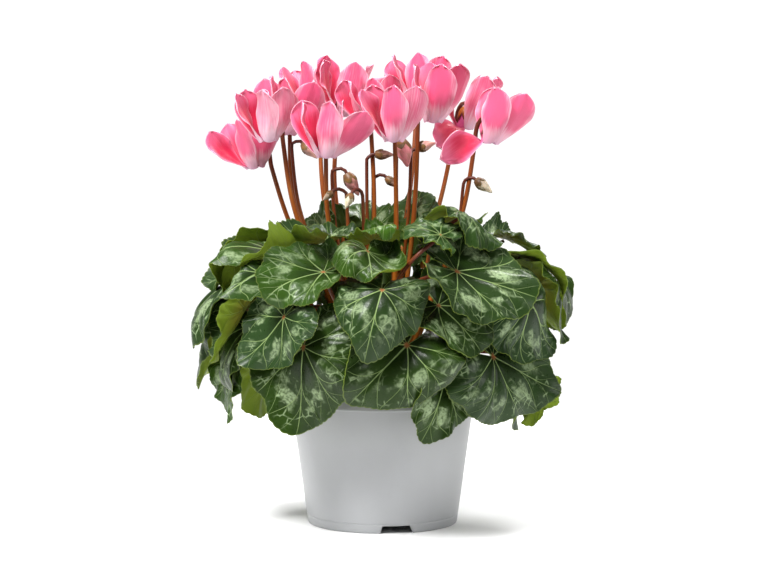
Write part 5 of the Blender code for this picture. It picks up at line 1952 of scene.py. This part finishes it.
def sepals(
    base: Array, axis: Array, radii: Array, levels: Array, cleft: float, seed: float
) -> Shape:
    """Five pointed sepals round a body, grown together at their foot.

    The rim is the last level times 1 - c (1 - |cos 2.5 a|^0.8), which leaves a cleft between two
    sepals, and the radius follows the body's at each level.

    Args:
        base: the centre of the foot.
        axis: unit direction in which they point.
        radii: radii of the body at the levels.
        levels: levels over the foot, rising.
        cleft: how much of the reach the clefts between the sepals take away.
        seed: start of the streaks.

    Returns:
        A closed thin sheet with "stem" and "dress".
    """
    angle = circle(SEPAL_SIDES)
    share = np.linspace(0, 1, SEPAL_ROWS)
    reach = levels[-1] * (1 - cleft * (1 - np.abs(np.cos(2.5 * angle)) ** 0.8))
    level = share[:, None] * reach[None]
    radius = np.interp(level, levels, radii)
    ring = spokes(angle, *square_axes(axis))
    points = base + level[..., None] * axis + ring * radius[..., None]
    stem = np.stack(np.broadcast_arrays(angle, share[:, None], 4 * level), axis=-1)
    faces = grid_faces(SEPAL_ROWS, SEPAL_SIDES, closed=True)
    sheet = Shape(points.reshape(-1, 3), faces, {"stem": stem.reshape(-1, 3)})
    sheet.with_constant("dress", 0.55, seed, 0.0)
    return thick_sheet(sheet, np.full(len(sheet.points), SEPAL_THICKNESS))


@dataclass
class Buds:
    """The nodding buds: furled petals under five sepals.

    The sepals reach some share of the bud's length and stand a little off its petals.
    """

    layout: Layout
    profile: Row = (0.13, 0.20, 0.245, 0.255, 0.235, 0.19, 0.135, 0.085, 0.03)
    sunk: float = 1.0
    twist: float = 2.2
    folds: float = 0.16
    sides: int = 40
    reach: float = 0.42
    stand_off: float = 0.30

    def build(self) -> None:
        """Makes the furled petals one piece, and the sepals another."""
        bodies, hoods = [], []
        for i, (bud, route) in enumerate(zip(self.layout.buds, self.layout.bud_routes)):
            hang = unit(route[-1] - route[-2])
            base = route[-1] - self.sunk * hang
            radii = np.array(self.profile) * bud.size
            body = spindle(base, hang, bud.size, radii, self.twist, self.folds, self.sides)
            bodies.append(body.with_constant("dress", bud.pinkness, bud.brownness, 3.0 * i))
            levels = np.linspace(0, self.reach, 6) * bud.size
            wide = np.interp(levels, np.linspace(0, bud.size, len(radii)), radii) + self.stand_off
            hoods.append(sepals(base, hang, wide, levels, 0.45, 5.0 * i))
        furled, hood = Shape.joined(bodies), Shape.joined(hoods)
        make_piece("bud_petals", furled, BudFinish().material(), Slot.PETAL, [STALK_NODE], 50)
        brown = StemFinish(
            "sepal_brown", (0.150, 0.060, 0.030), (0.110, 0.050, 0.025), (0.180, 0.120, 0.045)
        )
        make_piece("bud_sepals", hood, brown.material(), Slot.STALK, [STALK_NODE], 70)


@dataclass
class Calyces:
    """The five sepals that hold each flower's tube, with the knob in which its stalk ends.

    The sepals start above the mouth, and the knob a little above them again.
    """

    layout: Layout
    profile: Profile = ((1.4, 0.0), (2.6, 0.9), (3.7, 2.2), (4.6, 4.2), (5.0, 7.4), (5.4, 9.6))
    foot: float = 12.6
    cleft: float = 0.5
    knob_radii: Row = (1.3, 2.0, 2.7, 3.2, 3.3, 3.2, 2.6)
    knob_length: float = 4.6
    knob_back: float = 0.6

    def build(self, finish: Material) -> None:
        """Makes the piece."""
        shapes = []
        radii, levels = np.array(self.profile).T
        for i, bloom in enumerate(self.layout.blooms):
            axis = -bloom.axes[2]
            base = bloom.mouth - axis * self.foot
            shapes.append(sepals(base, axis, radii, levels, self.cleft, 7.0 * i))
            behind = base - axis * self.knob_back
            knob = spindle(behind, axis, self.knob_length, self.knob_radii, 0.3, 0.05, 30)
            shapes.append(knob.with_constant("dress", 0.6, 7.0 * i, 0.0))
        make_piece("calyces", Shape.joined(shapes), finish, Slot.STALK, [STALK_NODE], 60)


# Tuber, soil and pot


def revolved(profile: Profile, sides: int, change: object = None) -> Shape:
    """A closed solid of revolution, from a pole on the axis round to another.

    Args:
        profile: (radius, level) pairs that start and end with a radius of 0.
        sides: points round it.
        change: a function of radius, angle and level that returns them changed, if any.

    Returns:
        The shape, with quads between rings and a fan at each pole.
    """
    body = np.array(profile[1:-1], float)
    radius, around, level = np.broadcast_arrays(body[:, :1], circle(sides), body[:, 1:])
    if change:
        radius, around, level = change(radius, around, level)
    points = np.stack([radius * np.sin(around), -radius * np.cos(around), level], axis=-1)
    poles = np.array([[0.0, 0.0, profile[0][1]], [0.0, 0.0, profile[-1][1]]])
    every = np.concatenate([points.reshape(-1, 3), poles])
    return Shape(every, capped_faces(len(body), sides))


def rounded(
    corners: Sequence[tuple[float, float, float]], steps: int = 4
) -> list[tuple[float, float]]:
    """A profile whose corners are cut by quadratic curves.

    Args:
        corners: (radius, level, bend), of which the first and last stay sharp.
        steps: points on each rounded corner.

    Returns:
        The (radius, level) pairs.
    """
    places = np.array([corner[:2] for corner in corners], float)
    made = [tuple(places[0])]
    for i in range(1, len(places) - 1):
        bend = corners[i][2]
        if bend == 0:
            made.append(tuple(places[i]))
            continue
        before, after = places[i - 1] - places[i], places[i + 1] - places[i]
        start = places[i] + before * min(0.45, bend / np.linalg.norm(before))
        end = places[i] + after * min(0.45, bend / np.linalg.norm(after))
        t = np.linspace(0, 1, steps)[:, None]
        curve = (1 - t) ** 2 * start + 2 * (1 - t) * t * places[i] + t**2 * end
        made += [tuple(point) for point in curve]
    made.append(tuple(places[-1]))
    return made


@dataclass
class Tuber:
    """The flattened corky tuber that sits half out of the soil."""

    radius: float = 21.0
    height: float = 24.0
    sides: int = 72

    def build(self) -> None:
        """Makes the piece: an ellipse turned round the axis, lumpy by a few slow sines."""
        turn = np.linspace(0, math.pi, 26)
        middle = TUBER_TOP - self.height / 2
        profile = list(zip(self.radius * np.sin(turn), middle - self.height / 2 * np.cos(turn)))
        profile[0], profile[-1] = (0.0, TUBER_TOP - self.height), (0.0, TUBER_TOP)

        def lumpy(radius: Array, around: Array, level: Array) -> tuple[Array, Array, Array]:
            """Shrinks the radius by up to a twentieth, by sines of the angle and level."""
            lumps = np.sin(5 * around + 0.3 * level) + np.sin(9 * around - 0.5 * level + 1)
            return radius * (0.975 + 0.0125 * lumps), around, level

        finish = EarthFinish("corky_tuber", (0.045, 0.026, 0.016), (0.130, 0.080, 0.045), 180.0)
        shape = revolved(profile, self.sides, lumpy)
        make_piece("tuber", shape, finish.material(), Slot.STALK, [STALK_NODE], 80)


@dataclass
class Pot:
    """The moulded plastic pot: collar, tapered body, foot ring with notches, and drain holes.

    A notch's steep side runs from its bevel inside the width to its flare outside it, in radians.
    """

    height: float = 94.0
    rim_radius: float = 60.0
    collar_height: float = 18.0
    collar_step: float = 1.2
    shoulder_radius: float = 57.4
    foot_radius: float = 46.8
    foot_ring: float = 1.8
    wall: float = 1.4
    floor_level: float = 5.5
    line_level: float = 5.6
    sides: int = 240
    notch_count: int = 3
    notch_width: float = 19.0
    notch_height: float = 4.8
    notch_bevel: float = 0.016
    notch_flare: float = 0.010
    azimuth: float = 11.0
    drain_count: int = 6
    drain_radius: float = 3.5
    drain_ring: float = 30.0

    def body_radius(self, level: float) -> float:
        """Outer radius of the body, which tapers evenly from the shoulder to the foot."""
        slope = (self.shoulder_radius - self.foot_radius) / (self.height - self.collar_height)
        return self.foot_radius + slope * level

    def profile(self) -> list[tuple[float, float]]:
        """The wall's section, from the middle of the floor's underside round to its upper side."""
        shoulder = self.height - self.collar_height
        line = self.line_level
        foot = self.foot_radius
        under = self.floor_level
        corners = [
            (0.0, under, 0.0),
            (foot - self.foot_ring, under, 0.8),
            (foot - self.foot_ring, 2.5, 0.0),
            (foot - self.foot_ring, 0.0, 0.5),
            (foot - 0.1, 0.0, 0.9),
            (self.body_radius(2.5), 2.5, 0.0),
            (self.body_radius(line - 0.6), line - 0.6, 0.2),
            (self.body_radius(line) - 0.35, line, 0.3),
            (self.body_radius(line + 0.6), line + 0.6, 0.2),
            (self.body_radius(30), 30, 0.0),
            (self.body_radius(shoulder - 0.5), shoulder - 0.5, 0.5),
            (self.body_radius(shoulder) + self.collar_step - 0.1, shoulder + 0.3, 0.7),
            (self.rim_radius - 0.25, self.height - 3.2, 0.8),
            (self.rim_radius, self.height - 2.2, 0.6),
            (self.rim_radius, self.height, 0.9),
            (self.rim_radius - 1.6, self.height, 0.6),
            (self.shoulder_radius - self.wall, shoulder, 2.0),
            (self.body_radius(under) - self.wall, under + self.wall, 1.5),
            (0.0, under + self.wall, 0.0),
        ]
        return rounded(corners)

    def notched(self, radius: Array, around: Array, level: Array) -> tuple[Array, Array, Array]:
        """Lifts the foot ring's lower edge to a notch's height in each notch, with steep sides."""
        step = 2 * math.pi / self.notch_count
        off = (around - math.radians(self.azimuth) + step / 2) % step - step / 2
        half = self.notch_width / 2 / self.foot_radius
        inside = 1 - smoothstep(np.abs(off), half - self.notch_bevel, half + self.notch_flare)
        ring = radius > self.foot_radius - self.foot_ring - 0.6
        share = np.clip(1 - level / self.notch_height, 0, 1)
        lifted = level + np.where(ring, share * self.notch_height, 0) * inside
        return radius, around, lifted

    def build(self) -> None:
        """Makes the piece, and cuts its drain holes."""
        shape = revolved(self.profile(), self.sides, self.notched)
        pot = make_piece("pot_shell", shape, PlasticFinish().material(), Slot.PLASTIC, ["pot"], 40)
        for i in range(self.drain_count):
            centre = direction(self.azimuth + 360 * i / self.drain_count) * self.drain_ring
            ring = revolved([(0, 2), (self.drain_radius, 2), (self.drain_radius, 10), (0, 10)], 28)
            mesh = bpy.data.meshes.new("drain")
            faces = [[corner for corner in face if corner >= 0] for face in ring.faces.tolist()]
            mesh.from_pydata(((ring.points + centre) * MM).tolist(), [], faces)
            drain = bpy.data.objects.new("drain", mesh)
            bpy.context.scene.collection.objects.link(drain)
            cut = pot.modifiers.new("drain", "BOOLEAN")
            cut.operation, cut.solver, cut.object = "DIFFERENCE", "EXACT", drain
            bpy.context.view_layer.update()
            graph = bpy.context.evaluated_depsgraph_get()
            pot.data = bpy.data.meshes.new_from_object(pot.evaluated_get(graph))
            pot.modifiers.clear()
            bpy.data.objects.remove(drain, do_unlink=True)


@dataclass
class Soil:
    """Peat that fills the pot: a crumbly surface with loose crumbs on it."""

    pot: Pot
    level: float = 83.0
    sides: int = 128
    crumbs: int = 420
    heaps: float = 1.6
    grain: float = 0.35
    seed: int = 31

    def rough(self, x: Array, y: Array) -> Array:
        """Height of the surface: slow sines for its heaps and fast ones for its grain."""
        heaps = np.sin(0.31 * x + 1.0) * np.cos(0.27 * y) + 0.6 * np.sin(0.7 * y + 0.5 * x)
        one_way = np.sin(1.9 * x + 2.3 * np.sin(1.1 * y))
        other_way = np.sin(2.1 * y + 1.7 * np.sin(0.9 * x))
        return self.heaps * heaps + self.grain * one_way * other_way

    def build(self) -> None:
        """Makes the filling one piece and the crumbs another."""
        bottom = self.pot.floor_level + self.pot.wall + GAP
        inner = self.pot.body_radius(self.level) - self.pot.wall - GAP - 0.1
        top = [(radius, self.level) for radius in np.linspace(inner, 3, 40)]
        foot = self.pot.body_radius(bottom) - self.pot.wall - GAP - 0.3
        profile = [(0.0, bottom), (foot, bottom), (inner, self.level - 6), *top, (0.0, self.level)]

        def crumbly(radius: Array, around: Array, level: Array) -> tuple[Array, Array, Array]:
            """Raises the top by its roughness, which fades at the wall."""
            x, y = radius * np.sin(around), -radius * np.cos(around)
            on_top = smoothstep(level, self.level - 1, self.level)
            share = on_top * smoothstep(inner - radius, 0.0, 3.0)
            return radius, around, level + share * self.rough(x, y)

        finish = EarthFinish().material()
        filling = revolved(profile, self.sides, crumbly)
        make_piece("soil_filling", filling, finish, Slot.EARTH, ["soil"], 80)
        make_piece("soil_crumbs", self.loose(inner), finish, Slot.EARTH, ["soil"], 40)

    def loose(self, inner: float) -> Shape:
        """Crumbs: twelve-cornered lumps, squashed at random, half sunk in the surface.

        Args:
            inner: radius of the surface.

        Returns:
            All crumbs as one shape.
        """
        draw = np.random.default_rng(self.seed)
        gold = (1 + math.sqrt(5)) / 2
        signs = itertools.product((-1, 1), (-1, 1))
        corners = np.array([(0, y, gold * z) for y, z in signs], float)
        corners = unit(np.concatenate([np.roll(corners, turn, axis=1) for turn in range(3)]))
        reach = np.linalg.norm(corners[:, None] - corners[None], axis=2) < 1.2
        faces = [
            (a, b, c) if np.linalg.det(corners[[a, b, c]]) > 0 else (a, c, b)
            for a, b, c in itertools.combinations(range(12), 3)
            if reach[a, b] and reach[b, c] and reach[a, c]
        ]
        around = draw.uniform(0, 2 * math.pi, self.crumbs)
        away = np.sqrt(draw.uniform(23.0**2, (inner - 2) ** 2, self.crumbs))
        size = 0.6 + 1.1 * draw.uniform(0, 1, self.crumbs) ** 2
        x, y = away * np.sin(around), -away * np.cos(around)
        centre = np.stack([x, y, self.level + self.rough(x, y) + 0.2 * size], axis=1)
        stretch = draw.uniform(0.6, 1.2, (self.crumbs, 12, 3))
        points = centre[:, None] + corners[None] * stretch * size[:, None, None]
        every = np.array(faces)[None] + 12 * np.arange(self.crumbs)[:, None, None]
        return Shape(points.reshape(-1, 3), as_quads(every.reshape(-1, 3)))


# Studio


@dataclass
class Studio:
    """Pale floor, soft lights and the camera. A lamp is its name, place, size and power."""

    target: Vector = field(default_factory=lambda: Vector((0.0022, 0.0, 0.1460)))
    eye: Vector = field(default_factory=lambda: Vector((0.0022, -1.2, 0.2100)))
    lens: float = 89.4
    backdrop: float = 1.0
    front: float = 0.0
    horizon: float = 0.07
    dome: float = 0.5
    floor_radius: float = 0.62
    lamps: tuple[tuple[str, tuple[float, float, float], float, float], ...] = (
        ("key", (-0.5, -0.6, 1.2), 0.45, 34.0),
        ("fill", (1.0, -0.6, 0.7), 0.45, 5.0),
        ("back", (0.35, 0.8, 1.2), 0.6, 19.0),
    )
    lit: tuple[float, float, float] = (0.0, 0.0, 0.15)

    def build(self) -> None:
        """Makes the floor, the lights, the sky and the camera."""
        scene = bpy.context.scene
        mesh = bpy.data.meshes.new("floor")
        turn = circle(96)
        ring = np.stack([np.cos(turn), np.sin(turn), 0 * turn], axis=1) * self.floor_radius
        mesh.from_pydata(ring.tolist(), [], [list(range(len(turn)))])
        floor = bpy.data.objects.new("floor", mesh)
        scene.collection.objects.link(floor)
        g = Graph("pale_floor", Specular_IOR_Level=0.2)
        mesh.materials.append(g.finish((0.92, 0.92, 0.92), 0.8))
        floor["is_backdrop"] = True
        scene.world = self.sky()
        for lamp in self.lamps:
            self.lamp(*lamp)
        camera_data = bpy.data.cameras.new("camera")
        camera_data.lens = self.lens
        camera = bpy.data.objects.new("camera", camera_data)
        camera.location = self.eye
        camera.rotation_euler = (self.target - self.eye).to_track_quat("-Z", "Y").to_euler()
        scene.collection.objects.link(camera)
        scene.camera = camera
        scene.view_settings.view_transform = "Standard"

    def sky(self) -> bpy.types.World:
        """A white backdrop low at the back, and elsewhere a dim horizon under a brighter dome."""
        world = bpy.data.worlds.new("sky")
        world.use_nodes = True
        tree = world.node_tree
        background = tree.nodes["Background"]
        background.inputs["Color"].default_value = (1.0, 1.0, 1.0, 1.0)
        split = tree.nodes.new("ShaderNodeSeparateXYZ")
        tree.links.new(tree.nodes.new("ShaderNodeTexCoord").outputs["Generated"], split.inputs[0])

        def ramp(part: int, low: float, high: float, start: float, end: float) -> Socket:
            """A smooth step of one part of the direction."""
            node = tree.nodes.new("ShaderNodeMapRange")
            node.interpolation_type = "SMOOTHSTEP"
            for target, number in zip(list(node.inputs)[1:5], (low, high, start, end)):
                target.default_value = number
            tree.links.new(split.outputs[part], node.inputs[0])
            return node.outputs[0]

        total = tree.nodes.new("ShaderNodeMath")
        total.operation = "MULTIPLY_ADD"
        tree.links.new(ramp(2, 0.10, 0.26, self.backdrop, 0.0), total.inputs[0])
        tree.links.new(ramp(1, 0.1, 0.6, self.front, 1.0), total.inputs[1])
        tree.links.new(ramp(2, 0.2, 0.9, self.horizon, self.dome), total.inputs[2])
        tree.links.new(total.outputs[0], background.inputs["Strength"])
        return world

    def lamp(
        self, name: str, place: tuple[float, float, float], size: float, power: float
    ) -> None:
        """A soft square light that faces the foliage.

        Args:
            name: what it is called.
            place: where it stands, in metres.
            size: length of its side, in metres.
            power: its strength, in watts.
        """
        data = bpy.data.lights.new(name, "AREA")
        data.shape, data.size, data.energy = "SQUARE", size, power
        lamp = bpy.data.objects.new(name, data)
        lamp.location = place
        aim = Vector(self.lit) - Vector(place)
        lamp.rotation_euler = aim.to_track_quat("-Z", "Y").to_euler()
        bpy.context.scene.collection.objects.link(lamp)


def pot_tree() -> BVHTree:
    """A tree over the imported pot's faces, in millimetres."""
    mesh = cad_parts["pot"].data
    points = [tuple(vertex.co / MM) for vertex in mesh.vertices]
    return BVHTree.FromPolygons(points, [tuple(face.vertices) for face in mesh.polygons])


def main() -> None:
    """Builds the studio, the plant and its pot, and takes the bounds of the imported solids and of
    the finished scene.
    """
    logging.basicConfig(level=logging.INFO, format="%(message)s")
    Studio().build()
    layout = Layout(pot_tree())
    pot = Pot()
    pot.build()
    Soil(pot).build()
    Tuber().build()
    Foliage(layout).build()
    InnerLeaves(Foliage(layout, rings=5, sectors=132, teeth=33)).build()
    Blooms(layout).build()
    stalk = StemFinish().material()
    Stalks(layout).build(stalk)
    Calyces(layout).build(stalk)
    Buds(layout).build()
    boxes = [[list(corner) for corner in box] for box in (cad_box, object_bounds())]


if __name__ == "__main__":
    main()
